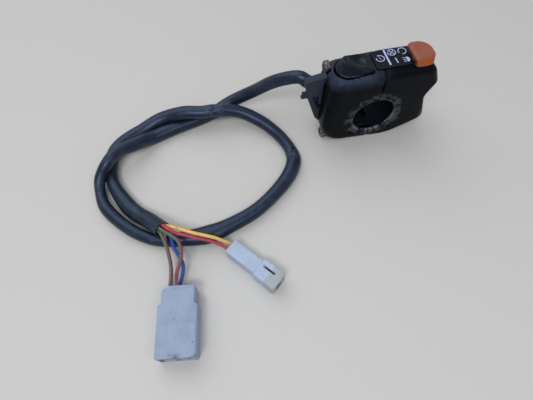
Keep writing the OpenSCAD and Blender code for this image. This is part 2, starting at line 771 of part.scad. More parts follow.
// Slider knob: flat on the plate's side, round at the nose, with a soft edge and a dish on top
module kill_knob() {
    y = [knob_y - knob_w / 2, knob_y + knob_w / 2];
    x = [knob_x, knob_x + knob_l];
    lean = 0.1;
    dish_r = 16;
    dish_h = 0.6;
    skirt = top_h + slide_gap / 2;
    pts = rounded([
        [x[0], y[0], 2.3, lean, 0], [x[1], y[0], 4.2, lean, 0], [x[1], y[1], 6.8, lean, 0],
        [x[0], y[1], 2.3, lean, 0],
    ]);
    color("#b4602f") difference() {
        loft(concat(
            [for (a = [90:-22.5:0]) plan_ring(pts, 1, knob_round * (1 - cos(a)),
                [knob_top - knob_round * (1 - sin(a)), 0])],
            [plan_ring(pts, 0, 0, [skirt, 0])]
        ));
        translate([(x[0] + x[1]) / 2, knob_y, knob_top + dish_r - dish_h])
            sphere(dish_r, $fn = 64);
        box([-far, far], [-plate_w / 2 - slide_gap, far], [-far, knob_low]);
        box([neck_right - neck_l - seat_gap, neck_right + seat_gap],
            [knob_neck_y[0] - seat_gap, knob_neck_y[1] + seat_gap],
            [-far, knob_low + neck_in + seat_gap]);
    }
}

// Carrier under the top face with the neck, the contact leg and two detent notches
module kill_slider_carrier() {
    notch = 1.3;
    color("#2a2c31") difference() {
        union() {
            box([carrier_left, carrier_right], carrier_y,
                [carrier_top - carrier_t, carrier_top]);
            box([neck_right - neck_l, neck_right], knob_neck_y,
                [carrier_top - eps, knob_low + neck_in]);
            box(leg_x, leg_y, [wiper_z + wiper_t, carrier_top - carrier_t + eps]);
        }
        for (x = [detent_x, detent_x + kill_travel])
            translate([x, leg_y[1], wiper_z]) linear_extrude(carrier_top - carrier_t - wiper_z)
                polygon([[-notch, eps], [0, -detent_h - 0.1], [notch, eps]]);
    }
}

module kill_contact_wiper() {
    color("#c09a4e") box([leg_x[0] + 0.2, leg_x[1] - 0.4], [-2.2, 0.6],
        [wiper_z, wiper_z + wiper_t]);
}

module kill_detent_spring() {
    bump = 1;
    z = [deck_z + 1.4, carrier_top - carrier_t - 1.6];
    color("#b5b7ba") {
        box(leaf_x, [leaf_y, leaf_y + leaf_t], z);
        box([leaf_x[0], leaf_x[0] + leaf_tab], [leaf_y, leaf_y + leaf_t], [ledge_z, z[1]]);
        translate([detent_x, leaf_y, z[0]]) linear_extrude(z[1] - z[0])
            polygon([[-bump, eps], [0, leg_y[1] - leaf_y - detent_h + 0.2], [bump, eps]]);
    }
}

module kill_contact_base() {
    color("#3a3327") difference() {
        box([1.6, neck_right + 0.4], [-6.6, leaf_y + leaf_t], [ledge_z, deck_z]);
        for (p = kill_screws) bar_z([-far, far], base_screw_d + 2 * seat_gap, p);
        box([leaf_x[0] - seat_gap, leaf_x[0] + leaf_tab + seat_gap], [leaf_y - seat_gap, far],
            [-far, far]);
        for (t = tail_x) box([t[0] - seat_gap, t[1] + seat_gap],
            [tail_y[0] - seat_gap, tail_y[1] + seat_gap], [-far, far]);
    }
}

module kill_fixed_contacts() {
    color("#c09a4e") for (i = [0, 1]) {
        box(pad_x[i], [-2.3, tail_y[1]], [deck_z, deck_z + pad_t]);
        box(tail_x[i], tail_y, [ledge_z - 2.4, deck_z + eps]);
    }
}

module inner_wire_yellow() { color("#d9a93a") tube(INNER_YELLOW, inner_d, 8); }
module inner_wire_red() { color("#b4303a") tube(INNER_RED, inner_d, 8); }
module inner_wire_blue() { color("#2a55b5") tube(INNER_BLUE, inner_d, 8); }
module inner_wire_green() { color("#3c7a4a") tube(INNER_GREEN, inner_d, 8); }

module loom_sleeve() { color("#262b38") tube(SLEEVE_ROUTE, sleeve_d, 10); }
module wire_yellow() { color("#d9a93a") tube(YELLOW_ROUTE, wire_d, 8); }
module wire_red() { color("#b4303a") tube(RED_ROUTE, wire_d, 8); }
module wire_green_a() { color("#3c7a4a") tube(GREEN_A_ROUTE, wire_d, 8); }
module wire_green_b() { color("#3c7a4a") tube(GREEN_B_ROUTE, wire_d, 8); }
module wire_blue() { color("#2a55b5") tube(BLUE_ROUTE, wire_d, 8); }
module wire_white() { color("#d8dbe2") tube(WHITE_ROUTE, wire_d, 8); }

// Both connectors lie on the floor with their mouths away from the wires
module main_place() {
    translate([main_pos.x, main_pos.y, sole_z]) rotate([0, 0, main_turn]) children();
}
module aux_place() {
    translate([aux_pos.x, aux_pos.y, sole_z]) rotate([0, 0, aux_turn]) children();
}

module main_connector_housing() {
    w = main_w / 2;
    n = w - 1.2;
    bevel = 3;
    step = 0.8;
    panel = [-3.6, w - 0.6];
    panel_y = -16;
    panel_t = 0.5;
    block = main_l - main_socket;
    color("#b9c3d8") main_place() difference() {
        union() {
            translate([0, 0, step]) linear_extrude(main_h - 2 * step) polygon(outline([
                [-n, -main_neck - 1, 0.1], [n, -main_neck - 1, 0.1], [n, 0, 0.5],
                [bevel - n, 0, 0.5], [-n, -2, 0.5],
            ]));
            linear_extrude(main_h - panel_t) polygon(outline([
                [-w, -main_l, 0.5], [w, -main_l, 1.1], [w, -main_neck, 0.6], [-w, -main_neck, 0.6],
            ]));
            box(panel, [-main_l, panel_y], [main_h - panel_t - eps, main_h]);
            box([panel[0], n], [panel_y, -1.5], [main_h - 2 * step, main_h - 0.3]);
        }
        box([conn_wall - w, w - conn_wall], [-main_l - 1, -block],
            [conn_wall, main_h - panel_t - conn_wall]);
        for (x = main_cols, z = main_rows) {
            box([x - cell_w / 2, x + cell_w / 2], [-block - eps, -wire_in],
                [z - cell_w / 2, z + cell_w / 2]);
            bar_y([-wire_in - eps, 1], wire_d + 2 * wire_fit, [x, z]);
        }
    }
}
module main_connector_terminals() {
    half = cell_w / 2 - 0.2;
    block = main_l - main_socket;
    color("#c7b27a") main_place() for (u = main_used) let (x = main_cols[u[0]], z = main_rows[u[1]])
        difference() {
            box([x - half, x + half], [0.6 - block, -wire_in - seat_gap], [z - half, z + half]);
            bar_y([-far, -wire_in - 3], pin_d, [x, z]);
        }
}

module aux_connector_housing() {
    w = aux_w / 2;
    n = w - 1.1;
    low = 0.4;
    flange = 3.6;
    mouth_r = 1.4;
    slot_x = [1.2, 2.1];
    slot_y = [-25.2, -18.6];
    rib = 0.7;
    block = 19.5;
    color("#bcc6da") aux_place() difference() {
        union() {
            box([-n, n], [-aux_neck - 1, 0], [low, aux_h - 1]);
            box([-w + 0.3, w - 0.3], [mouth_r - aux_l, -aux_neck], [0, aux_h - 0.3]);
            linear_extrude(aux_h) polygon(outline([
                [-w, -aux_l, mouth_r], [w, -aux_l, mouth_r], [w, flange - aux_l, 0.3],
                [-w, flange - aux_l, 0.3],
            ]));
            box([w - 1.6, w], [mouth_r - aux_l, -aux_neck], [aux_h - 2, aux_h]);
        }
        box([conn_wall - n, n - conn_wall + rib], [-aux_l - 1, -block],
            [low + conn_wall, aux_h - 0.3 - conn_wall]);
        box(slot_x, slot_y, [aux_h - 1.8, far]);
        for (x = aux_cols) bar_y([-block - eps, 1], wire_d + 2 * wire_fit, [x, aux_row]);
    }
}
module aux_connector_terminals() {
    color("#c7b27a") aux_place() for (x = aux_cols) {
        bar_y([crimp_end, -5 - seat_gap], wire_d, [x, aux_row]);
        bar_y([pin_tip, crimp_end + eps], pin_d, [x, aux_row]);
    }
}

starter_half_shell();
kill_half_shell();
clamp_screws();
threaded_inserts();
legend_plate();
cable_cover();
cable_grommet();
start_button();
start_return_spring();
start_contact_bridge();
start_contact_base();
start_fixed_contacts();
start_base_screws();
kill_knob();
kill_slider_carrier();
kill_contact_wiper();
kill_detent_spring();
kill_contact_base();
kill_fixed_contacts();
kill_base_screws();
inner_wire_yellow();
inner_wire_red();
inner_wire_blue();
inner_wire_green();
loom_sleeve();
wire_yellow();
wire_red();
wire_green_a();
wire_green_b();
wire_blue();
wire_white();
main_connector_housing();
main_connector_terminals();
aux_connector_housing();
aux_connector_terminals();
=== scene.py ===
"""Looks of a handlebar switch cluster: clamp housing, starter button, kill slider and loom."""

import logging
import math
from dataclasses import dataclass, field, replace
from enum import Enum
from functools import partial, reduce
from typing import Callable, Optional, Sequence, Union

import bmesh
import bpy
from mathutils import Matrix, Vector


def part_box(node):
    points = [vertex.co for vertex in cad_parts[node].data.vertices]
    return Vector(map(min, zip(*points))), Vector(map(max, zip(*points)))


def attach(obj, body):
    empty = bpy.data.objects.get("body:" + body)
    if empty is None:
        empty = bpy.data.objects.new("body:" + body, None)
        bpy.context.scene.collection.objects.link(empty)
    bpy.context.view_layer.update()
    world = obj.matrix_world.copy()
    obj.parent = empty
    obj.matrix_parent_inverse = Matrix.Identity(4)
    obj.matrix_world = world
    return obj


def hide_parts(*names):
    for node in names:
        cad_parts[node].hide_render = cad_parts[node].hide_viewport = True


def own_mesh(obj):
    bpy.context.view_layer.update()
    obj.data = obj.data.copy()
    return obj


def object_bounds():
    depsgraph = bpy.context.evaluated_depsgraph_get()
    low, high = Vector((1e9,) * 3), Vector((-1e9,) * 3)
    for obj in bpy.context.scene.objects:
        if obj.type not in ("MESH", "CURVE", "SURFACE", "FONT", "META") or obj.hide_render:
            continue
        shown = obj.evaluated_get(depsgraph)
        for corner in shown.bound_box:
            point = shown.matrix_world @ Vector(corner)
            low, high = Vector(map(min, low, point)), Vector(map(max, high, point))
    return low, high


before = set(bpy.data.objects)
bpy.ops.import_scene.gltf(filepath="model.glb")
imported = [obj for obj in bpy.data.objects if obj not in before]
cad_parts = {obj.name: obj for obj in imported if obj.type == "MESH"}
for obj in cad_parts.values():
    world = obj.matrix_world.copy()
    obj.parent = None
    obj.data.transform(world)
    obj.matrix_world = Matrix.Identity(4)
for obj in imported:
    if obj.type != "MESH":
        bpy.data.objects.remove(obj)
CAD_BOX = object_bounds()

LOG = logging.getLogger("switch_cluster")
UP = Vector((0.0, 0.0, 1.0))
WELD = 1e-6
FLAT_ANGLE = math.radians(0.6)
EASE_ANGLE = math.radians(35.0)
EASE_SEGMENTS = 2
SHARP_DEGREES = 32.0
NEVER_SHARP = 180.0
SMOOTH_FACTOR = 0.5
CORNER_REACH = 0.0012
CORNER_SAMPLES = 6

Colour = tuple[float, float, float]
Point = tuple[float, float, float]
Spot = tuple[float, float]
Span = tuple[float, float]
Route = Sequence[Point]
Socket = bpy.types.NodeSocket
Feed = Union[float, Sequence[float], Socket]


class Body(Enum):
    """Bodies of the frame that the pieces ride on."""

    HOUSING = "housing"
    START_BUTTON = "start_button"
    KILL_SLIDER = "kill_slider"


class Coat(Enum):
    """How far a metal has aged: the share that is spoiled and the depth of its pits in metres."""

    CLEAN = (0.25, 0.00001)
    CORRODED = (0.9, 0.00006)


@dataclass(frozen=True, kw_only=True)
class Grain:
    """A noise: size of its largest grains in metres, finer layers, distortion and stretching."""

    size: float
    detail: float = 3.0
    twist: float = 0.0
    stretch: Optional[Point] = None


@dataclass(frozen=True, kw_only=True)
class Patches(Grain):
    """Patches that show where a noise rises from a low to a high level, and how strongly."""

    low: float
    high: float
    share: float = 1.0


class NodeKit:
    """A material and short calls that wire its nodes."""

    def __init__(self, name: str) -> None:
        """Start a node material.

        Args:
            name: Name of the material.
        """
        self.material = bpy.data.materials.new(name)
        self.material.use_nodes = True
        self.tree = self.material.node_tree
        self.shader = self.tree.nodes["Principled BSDF"]
        self.place = self.add("ShaderNodeTexCoord").outputs["Object"]

    def add(self, kind: str, **settings: object) -> bpy.types.Node:
        """Add a node and set its properties.

        Args:
            kind: Blender's name of the node type.
            settings: Properties to set on the node.

        Returns:
            The new node.
        """
        node = self.tree.nodes.new(kind)
        for key, value in settings.items():
            setattr(node, key, value)
        return node

    def feed(self, socket: Socket, value: Feed) -> None:
        """Link a socket to another, or set its constant.

        Args:
            socket: The input to fill.
            value: An output socket, a number or a tuple.
        """
        if isinstance(value, Socket):
            self.tree.links.new(value, socket)
        elif socket.type == "RGBA" and len(value) == 3:
            socket.default_value = (*value, 1.0)
        else:
            socket.default_value = value

    def fill(self, node: bpy.types.Node, **inputs: Feed) -> bpy.types.Node:
        """Fill a node's inputs, with _ for a space in their names.

        Args:
            node: The node.
            inputs: Values or sockets by input name.

        Returns:
            The same node.
        """
        for key, value in inputs.items():
            self.feed(node.inputs[key.replace("_", " ")], value)
        return node

    def math(self, operation: str, a: Feed, b: Feed = 0.0) -> Socket:
        """One arithmetic step on one or two numbers.

        Args:
            operation: Blender's name of the step.
            a: First number.
            b: Second number, where the step has one.

        Returns:
            The result.
        """
        node = self.add("ShaderNodeMath", operation=operation)
        self.feed(node.inputs[0], a)
        self.feed(node.inputs[1], b)
        return node.outputs[0]

    def times(self, *values: Feed) -> Socket:
        """Product of several numbers."""
        return reduce(partial(self.math, "MULTIPLY"), values)

    def total(self, *values: Feed) -> Socket:
        """Sum of several numbers."""
        return reduce(partial(self.math, "ADD"), values)

    def most(self, *values: Feed) -> Socket:
        """Largest of several numbers."""
        return reduce(partial(self.math, "MAXIMUM"), values)

    def plus(self, base: Feed, share: Feed, by: float) -> Socket:
        """A number raised by a share of another."""
        return self.total(base, self.times(share, by))

    def blend(self, share: Feed, a: float, b: float) -> Socket:
        """Number between a and b by a share."""
        return self.plus(a, share, b - a)

    def step(self, value: Feed, low: float, high: float) -> Socket:
        """Smooth step from 0 at low to 1 at high, or back where low is the larger.

        Args:
            value: The number to map.
            low: Where the result is 0.
            high: Where the result is 1.

        Returns:
            The mapped number.
        """
        node = self.add("ShaderNodeMapRange", interpolation_type="SMOOTHSTEP")
        falls = low > high
        self.fill(node, Value=value, From_Min=min(low, high), From_Max=max(low, high),
                  To_Min=1.0 if falls else 0.0, To_Max=0.0 if falls else 1.0)
        return node.outputs["Result"]

    def noise(self, grain: Grain, vector: Optional[Socket] = None) -> Socket:
        """Noise of a given grain.

        Args:
            grain: Its size and kind.
            vector: Where it is read, or the object's own place.

        Returns:
            The noise value, about 0.5 on average.
        """
        place = self.place if vector is None else vector
        if grain.stretch is not None:
            mapping = self.fill(self.add("ShaderNodeMapping"), Vector=place, Scale=grain.stretch)
            place = mapping.outputs["Vector"]
        node = self.fill(self.add("ShaderNodeTexNoise"), Vector=place, Scale=1.0 / grain.size,
                         Detail=grain.detail, Distortion=grain.twist)
        return node.outputs["Fac"]

    def patches(self, spec: Patches, vector: Optional[Socket] = None) -> Socket:
        """Mask of patches, from 0 to their share.

        Args:
            spec: The patches.
            vector: Where they are read, or the object's own place.

        Returns:
            The mask.
        """
        return self.times(self.step(self.noise(spec, vector), spec.low, spec.high), spec.share)

    def corners(self, spec: Patches) -> Socket:
        """Mask of patches that show only in corners and grooves.

        Args:
            spec: The patches.

        Returns:
            The mask.
        """
        node = self.add("ShaderNodeAmbientOcclusion", samples=CORNER_SAMPLES)
        self.fill(node, Distance=CORNER_REACH)
        return self.times(self.math("SUBTRACT", 1.0, node.outputs["AO"]), self.patches(spec))

    def axes(self, vector: Optional[Socket] = None) -> tuple[Socket, ...]:
        """The three parts of a vector.

        Args:
            vector: The vector, or the object's own place.

        Returns:
            Its X, Y and Z.
        """
        node = self.add("ShaderNodeSeparateXYZ")
        self.feed(node.inputs[0], self.place if vector is None else vector)
        return tuple(node.outputs)

    def attribute(self, name: str) -> bpy.types.Node:
        """Node that reads a mesh attribute."""
        return self.add("ShaderNodeAttribute", attribute_name=name)

    def mix(self, share: Feed, a: Feed, b: Feed) -> Socket:
        """Blend of two colours.

        Args:
            share: 0 gives the first colour, 1 the second.
            a: First colour.
            b: Second colour.

        Returns:
            The blended colour.
        """
        node = self.add("ShaderNodeMix", data_type="RGBA")
        self.feed(node.inputs["Factor"], share)
        colours = [s for s in node.inputs if s.type == "RGBA"]
        self.feed(colours[0], a)
        self.feed(colours[1], b)
        return next(s for s in node.outputs if s.type == "RGBA")

    def bump(self, height: Feed, depth: float, under: Optional[Socket] = None) -> Socket:
        """Relief from a height.

        Args:
            height: Height between 0 and 1.
            depth: Real depth of the relief in metres.
            under: A relief that this one lies on.

        Returns:
            The bent normal.
        """
        node = self.fill(self.add("ShaderNodeBump"), Strength=1.0, Distance=depth, Height=height)
        if under is not None:
            self.feed(node.inputs["Normal"], under)
        return node.outputs["Normal"]

    def surface(self, **inputs: Feed) -> bpy.types.Material:
        """Fill the shader's inputs and give back the finished material."""
        self.fill(self.shader, **inputs)
        return self.material


@dataclass(frozen=True)
class Finish:
    """A surface finish that makes its material once."""

    name: str

    def material(self) -> bpy.types.Material:
        """The finish's material, made when first asked for."""
        return bpy.data.materials.get(self.name) or self.make(NodeKit(self.name))

    def make(self, kit: NodeKit) -> bpy.types.Material:
        """Wire the material.

        Args:
            kit: The material's nodes.

        Returns:
            The finished material.
        """
        raise NotImplementedError


@dataclass(frozen=True)
class MouldedPlastic(Finish):
    """Dark moulded plastic with a fine grain, dust in its corners and light scratches."""

    colour: Colour = (0.0034, 0.0038, 0.005)
    tint: Colour = (0.5, 0.7, 1.0)
    gloss: float = 0.07
    roughness: float = 0.34
    sheen: Grain = Grain(size=0.004, detail=4.0)
    sheen_spread: float = 0.12
    marked_rough: float = 0.3
    grain: Grain = Grain(size=0.00035, detail=2.0)
    grain_depth: float = 0.000012
    scratches: Patches = Patches(size=0.0012, detail=2.0, twist=1.5, stretch=(1.0, 0.12, 0.4),
                                 low=0.66, high=0.7)
    scratch_depth_share: float = 0.6
    dust: Colour = (0.062, 0.058, 0.055)
    dust_share: float = 0.2
    dust_clouds: Patches = Patches(size=0.006, detail=5.0, low=0.48, high=0.78, share=0.25)
    dust_specks: Patches = Patches(size=0.0005, detail=2.0, low=0.58, high=0.76, share=0.8)
    dust_corners: Patches = Patches(size=0.003, detail=4.0, low=0.4, high=0.6, share=0.3)

    def dusty(self, kit: NodeKit) -> Socket:
        """Mask of dust on the open faces and in the corners.

        Args:
            kit: The material's nodes.

        Returns:
            The mask from 0 to 1.
        """
        layers = kit.total(kit.patches(self.dust_clouds), kit.patches(self.dust_specks),
                           kit.corners(self.dust_corners))
        return kit.times(layers, self.dust_share)

    def relief(self, kit: NodeKit) -> Socket:
        """Relief of the moulding's grain and a few scratches.

        Args:
            kit: The material's nodes.

        Returns:
            The bent normal.
        """
        fine = kit.bump(kit.noise(self.grain), self.grain_depth)
        depth = self.grain_depth * self.scratch_depth_share
        return kit.bump(kit.patches(self.scratches), depth, fine)

    def moulded(self, kit: NodeKit, colour: Socket, marks: Socket,
                relief: Socket) -> bpy.types.Material:
        """Fill the shader, with an uneven sheen that is dull where the surface is marked.

        Args:
            kit: The material's nodes.
            colour: The surface's colour.
            marks: Mask of dust and wear.
            relief: The bent normal.

        Returns:
            The finished material.
        """
        smoothest = self.roughness - self.sheen_spread / 2
        rough = kit.plus(smoothest, kit.noise(self.sheen), self.sheen_spread)
        return kit.surface(
            Base_Color=colour,
            Roughness=kit.plus(rough, marks, self.marked_rough),
            Normal=relief,
            Specular_Tint=self.tint,
            Specular_IOR_Level=self.gloss,
        )

    def make(self, kit: NodeKit) -> bpy.types.Material:
        """Wire the material.

        Args:
            kit: The material's nodes.

        Returns:
            The finished material.
        """
        dust = self.dusty(kit)
        return self.moulded(kit, kit.mix(dust, self.colour, self.dust), dust, self.relief(kit))


@dataclass(frozen=True)
class ClampPlastic(MouldedPlastic):
    """The housing's plastic, scuffed where the handlebar fitting rubbed round the bore, with a
    painted bluish highlight on its upper left end.

    A span gives the two places, along an axis of the part or outwards from the bore's wall,
    between which a mark fades in.
    """

    bore_r: float = 0.0111
    bore_wall: Span = (0.0004, 0.0001)
    faces_y: Span = (0.0087, 0.0093)
    scuff: Colour = (0.085, 0.087, 0.09)
    scuff_ring: Span = (0.0069, 0.0024)
    scuff_lift: float = 0.16
    scuffs: Patches = Patches(size=0.0038, detail=6.0, twist=0.6, low=0.56, high=0.76, share=0.75)
    worn: Colour = (0.15, 0.19, 0.27)
    rim_ring: Span = (0.0013, 0.0005)
    rim_low_z: Span = (0.004, -0.006)
    rim_top_share: float = 0.45
    chips: Patches = Patches(size=0.0034, detail=5.0, twist=0.8, low=0.34, high=0.66)
    gouges: Grain = Grain(size=0.0006)
    gouge_depth: float = 0.00008
    stain: Colour = (0.1, 0.098, 0.062)
    stain_x: Span = (0.0262, 0.0277)
    stain_top_z: Span = (0.0095, 0.007)
    stain_foot_z: Span = (-0.0075, -0.005)
    stains: Patches = Patches(size=0.006, low=0.3, high=0.7, share=0.4)
    # Painted highlight: a pale bluish colour on the upper left end that stands in for the sky's
    # reflection along the top rounding.
    painted_highlight: Colour = (0.075, 0.1, 0.175)
    highlight_x: Span = (0.006, -0.012)
    highlight_z: Span = (0.0205, 0.0265)
    highlight_share: float = 0.5
    highlight_thin_share: float = 0.6
    highlight_patches: Patches = Patches(size=0.005, detail=4.0, low=0.35, high=0.65)

    def highlighted(self, kit: NodeKit, x: Socket, z: Socket) -> Socket:
        """The plastic's colour under a patchy painted bluish highlight on the upper left end by
        the cable.

        Args:
            kit: The material's nodes.
            x: Place along X.
            z: Place along Z.

        Returns:
            The colour.
        """
        patchy = kit.blend(kit.patches(self.highlight_patches), self.highlight_thin_share, 1.0)
        share = kit.times(kit.step(x, *self.highlight_x), kit.step(z, *self.highlight_z), patchy,
                          self.highlight_share)
        return kit.mix(share, self.colour, self.painted_highlight)

    def stained(self, kit: NodeKit, x: Socket, z: Socket) -> Socket:
        """Mask of the olive stain on the flank beside the bore.

        Args:
            kit: The material's nodes.
            x: Place along X.
            z: Place along Z.

        Returns:
            The mask from 0 to 1.
        """
        return kit.times(kit.step(x, *self.stain_x), kit.step(z, *self.stain_top_z),
                         kit.step(z, *self.stain_foot_z), kit.patches(self.stains))

    def make(self, kit: NodeKit) -> bpy.types.Material:
        """Wire the material.

        Args:
            kit: The material's nodes.

        Returns:
            The finished material.
        """
        x, y, z = kit.axes()
        radius = kit.math("SQRT", kit.total(kit.times(x, x), kit.times(z, z)))
        from_bore = kit.math("SUBTRACT", radius, self.bore_r)
        at_face = kit.step(kit.math("ABSOLUTE", y), *self.faces_y)
        ring = kit.times(kit.step(from_bore, *self.scuff_ring), at_face)
        level = kit.plus(kit.noise(self.scuffs), ring, self.scuff_lift)
        scuffed = kit.times(ring, kit.step(level, self.scuffs.low, self.scuffs.high),
                            self.scuffs.share)
        low = kit.blend(kit.step(z, *self.rim_low_z), self.rim_top_share, 1.0)
        rubbed = kit.times(kit.step(from_bore, *self.rim_ring), at_face, kit.patches(self.chips),
                           low)
        dust = self.dusty(kit)
        # The base colour carries the painted highlight on the upper left end.
        colour = kit.mix(dust, self.highlighted(kit, x, z), self.dust)
        colour = kit.mix(self.stained(kit, x, z), colour, self.stain)
        colour = kit.mix(scuffed, colour, self.scuff)
        colour = kit.mix(rubbed, colour, self.worn)
        marks = kit.most(scuffed, rubbed)
        gouged = kit.bump(kit.times(marks, kit.noise(self.gouges)), self.gouge_depth,
                          self.relief(kit))
        dull = kit.most(kit.step(from_bore, *self.bore_wall), marks, dust)
        return self.moulded(kit, colour, dull, gouged)


@dataclass(frozen=True)
class AmberPlastic(Finish):
    """Orange-brown plastic that lets some light through, with a rubbed top and painted shade on
    its left flank.

    A span gives the two places, from the top or from the left side, between which a mark
    fades in.
    """

    colour: Colour = (0.39, 0.086, 0.0165)
    gloss: float = 0.35
    roughness: float = 0.36
    skin: Grain = Grain(size=0.0005)
    skin_depth: float = 0.000008
    top_z: float = 0.0325
    left_x: float = 0.014
    faded: Colour = (0.3, 0.098, 0.062)
    rubbed_z: Span = (-0.0016, -0.0005)
    rubbed_rough: float = 0.14
    clouds: Patches = Patches(size=0.0025, detail=4.0, low=0.5, high=0.75, share=0.12)
    # grime darkens the dirty corners and also paints the shade on the left flank.
    grime: Colour = (0.03, 0.009, 0.005)
    shaded_flank_x: Span = (0.0015, 0.0004)
    shaded_flank_z: Span = (-0.0007, -0.0018)
    shaded_flank_share: float = 0.9
    grime_corners: Patches = Patches(size=0.002, low=0.35, high=0.6, share=0.45)
    glow: float = 0.3
    glow_radius: Point = (1.0, 0.3, 0.12)
    glow_scale: float = 0.0016

    def make(self, kit: NodeKit) -> bpy.types.Material:
        """Wire the material.

        Args:
            kit: The material's nodes.

        Returns:
            The finished material.
        """
        x, _, z = kit.axes()
        from_top = kit.math("SUBTRACT", z, self.top_z)
        from_left = kit.math("SUBTRACT", x, self.left_x)
        rubbed = kit.step(from_top, *self.rubbed_z)
        # Painted shade: the left flank below the top darkens to the grime colour.
        flank = kit.times(kit.step(from_left, *self.shaded_flank_x), kit.step(from_top, *self.shaded_flank_z),
                          self.shaded_flank_share)
        colour = kit.mix(kit.most(rubbed, kit.patches(self.clouds)), self.colour, self.faded)
        return kit.surface(
            Base_Color=kit.mix(kit.most(kit.corners(self.grime_corners), flank), colour,
                               self.grime),
            Roughness=kit.plus(self.roughness, rubbed, self.rubbed_rough),
            Normal=kit.bump(kit.noise(self.skin), self.skin_depth),
            Specular_IOR_Level=self.gloss,
            Subsurface_Weight=self.glow,
            Subsurface_Radius=self.glow_radius,
            Subsurface_Scale=self.glow_scale,
        )


@dataclass(frozen=True)
class Metal(Finish):
    """Bare or plated metal with pits, stains and pale bloom, clean or corroded."""

    colour: Colour = (0.2, 0.205, 0.21)
    rust: Colour = (0.03, 0.026, 0.02)
    bloom: Colour = (0.3, 0.32, 0.32)
    coat: Coat = Coat.CLEAN
    roughness: float = 0.3
    spoiled_rough: float = 0.75
    spoiled_metallic: float = 0.25
    stains: Patches = Patches(size=0.0018, detail=5.0, low=0.46, high=0.62)
    pits: Patches = Patches(size=0.0007, detail=5.0, twist=0.5, low=0.61, high=0.7, share=0.7)

    def make(self, kit: NodeKit) -> bpy.types.Material:
        """Wire the material.

        Args:
            kit: The material's nodes.

        Returns:
            The finished material.
        """
        share, pit_depth = self.coat.value
        rusty = kit.times(kit.patches(self.stains), share)
        white = kit.times(kit.patches(self.pits), share)
        bare = kit.math("SUBTRACT", 1.0, kit.most(rusty, white))
        return kit.surface(
            Base_Color=kit.mix(white, kit.mix(rusty, self.colour, self.rust), self.bloom),
            Metallic=kit.blend(bare, self.spoiled_metallic, 1.0),
            Roughness=kit.blend(bare, self.spoiled_rough, self.roughness),
            Normal=kit.bump(kit.noise(self.pits), pit_depth),
        )


@dataclass(frozen=True)
class Vinyl(Finish):
    """Soft vinyl of the loom's sleeve, scuffed along its length and pale where it creased."""

    colour: Colour = (0.0076, 0.0102, 0.0182)
    tint: Colour = (0.42, 0.61, 1.0)
    gloss: float = 0.8
    roughness: float = 0.37
    marked_rough: float = 0.3
    scuff: Colour = (0.074, 0.1, 0.16)
    streaks: Patches = Patches(size=0.0011, detail=4.0, twist=0.4,
                               stretch=(0.0035, 0.0035, 0.12), low=0.55, high=0.75, share=0.45)
    rubs: Patches = Patches(size=0.014, low=0.5, high=0.68)
    creases: Patches = Patches(size=0.0017, detail=4.0, twist=0.7, low=0.36, high=0.62, share=0.6)
    dust: Patches = Patches(size=0.0032, detail=5.0, low=0.46, high=0.75, share=0.16)
    ripples: Grain = Grain(size=0.0036, stretch=(0.0035, 0.0035, 1.0))
    ripple_depth: float = 0.00018
    folds: Grain = Grain(size=0.0026, twist=0.8)
    fold_depth: float = 0.0008
    skin: Grain = Grain(size=0.0004, detail=2.0)
    skin_depth: float = 0.000012

    def make(self, kit: NodeKit) -> bpy.types.Material:
        """Wire the material.

        Args:
            kit: The material's nodes.

        Returns:
            The finished material.
        """
        lay = kit.attribute("lay").outputs["Vector"]
        worn = kit.attribute("worn").outputs["Fac"]
        rubbed = kit.times(kit.patches(self.streaks, lay), kit.patches(self.rubs))
        creased = kit.times(worn, kit.patches(self.creases))
        marks = kit.most(rubbed, creased, kit.patches(self.dust))
        rippled = kit.bump(kit.noise(self.ripples, lay), self.ripple_depth)
        folded = kit.bump(kit.times(worn, kit.noise(self.folds)), self.fold_depth, rippled)
        return kit.surface(
            Base_Color=kit.mix(marks, self.colour, self.scuff),
            Roughness=kit.plus(self.roughness, marks, self.marked_rough),
            Normal=kit.bump(kit.noise(self.skin), self.skin_depth, folded),
            Specular_Tint=self.tint,
            Specular_IOR_Level=self.gloss,
        )


@dataclass(frozen=True)
class Insulation(Finish):
    """Wire insulation, plain or with one stripe that winds slowly round it.

    The stripe's turn and half width are in degrees, its winding is in degrees a metre, and its
    softness is a difference of cosines.
    """

    colour: Colour
    stripe: Optional[Colour] = None
    stripe_turn: float = 0.0
    stripe_wind: float = 0.0
    stripe_half: float = 48.0
    stripe_soft: float = 0.05
    roughness: float = 0.4
    grime: Colour = (0.06, 0.055, 0.05)
    dirt: Patches = Patches(size=0.0022, detail=5.0, low=0.5, high=0.75, share=0.35)
    rubs: Grain = Grain(size=0.001, stretch=(0.001, 0.001, 0.3))
    rub_rough: float = 0.15
    rub_depth: float = 0.00003

    def band(self, kit: NodeKit, lay: Socket) -> Socket:
        """Mask of the stripe.

        Args:
            kit: The material's nodes.
            lay: Cosine and sine round the wire, and the way along it.

        Returns:
            1 in the stripe, 0 beside it.
        """
        cosine, sine, along = kit.axes(lay)
        angle = kit.plus(math.radians(self.stripe_turn), along, math.radians(self.stripe_wind))
        facing = kit.total(kit.times(cosine, kit.math("COSINE", angle)),
                           kit.times(sine, kit.math("SINE", angle)))
        edge = math.cos(math.radians(self.stripe_half))
        return kit.step(facing, edge - self.stripe_soft, edge + self.stripe_soft)

    def make(self, kit: NodeKit) -> bpy.types.Material:
        """Wire the material.

        Args:
            kit: The material's nodes.

        Returns:
            The finished material.
        """
        lay = kit.attribute("lay").outputs["Vector"]
        colour: Feed = self.colour
        if self.stripe is not None:
            colour = kit.mix(self.band(kit, lay), self.colour, self.stripe)
        rubbed = kit.noise(self.rubs, lay)
        return kit.surface(
            Base_Color=kit.mix(kit.patches(self.dirt), colour, self.grime),
            Roughness=kit.plus(self.roughness, rubbed, self.rub_rough),
            Normal=kit.bump(rubbed, self.rub_depth),
        )


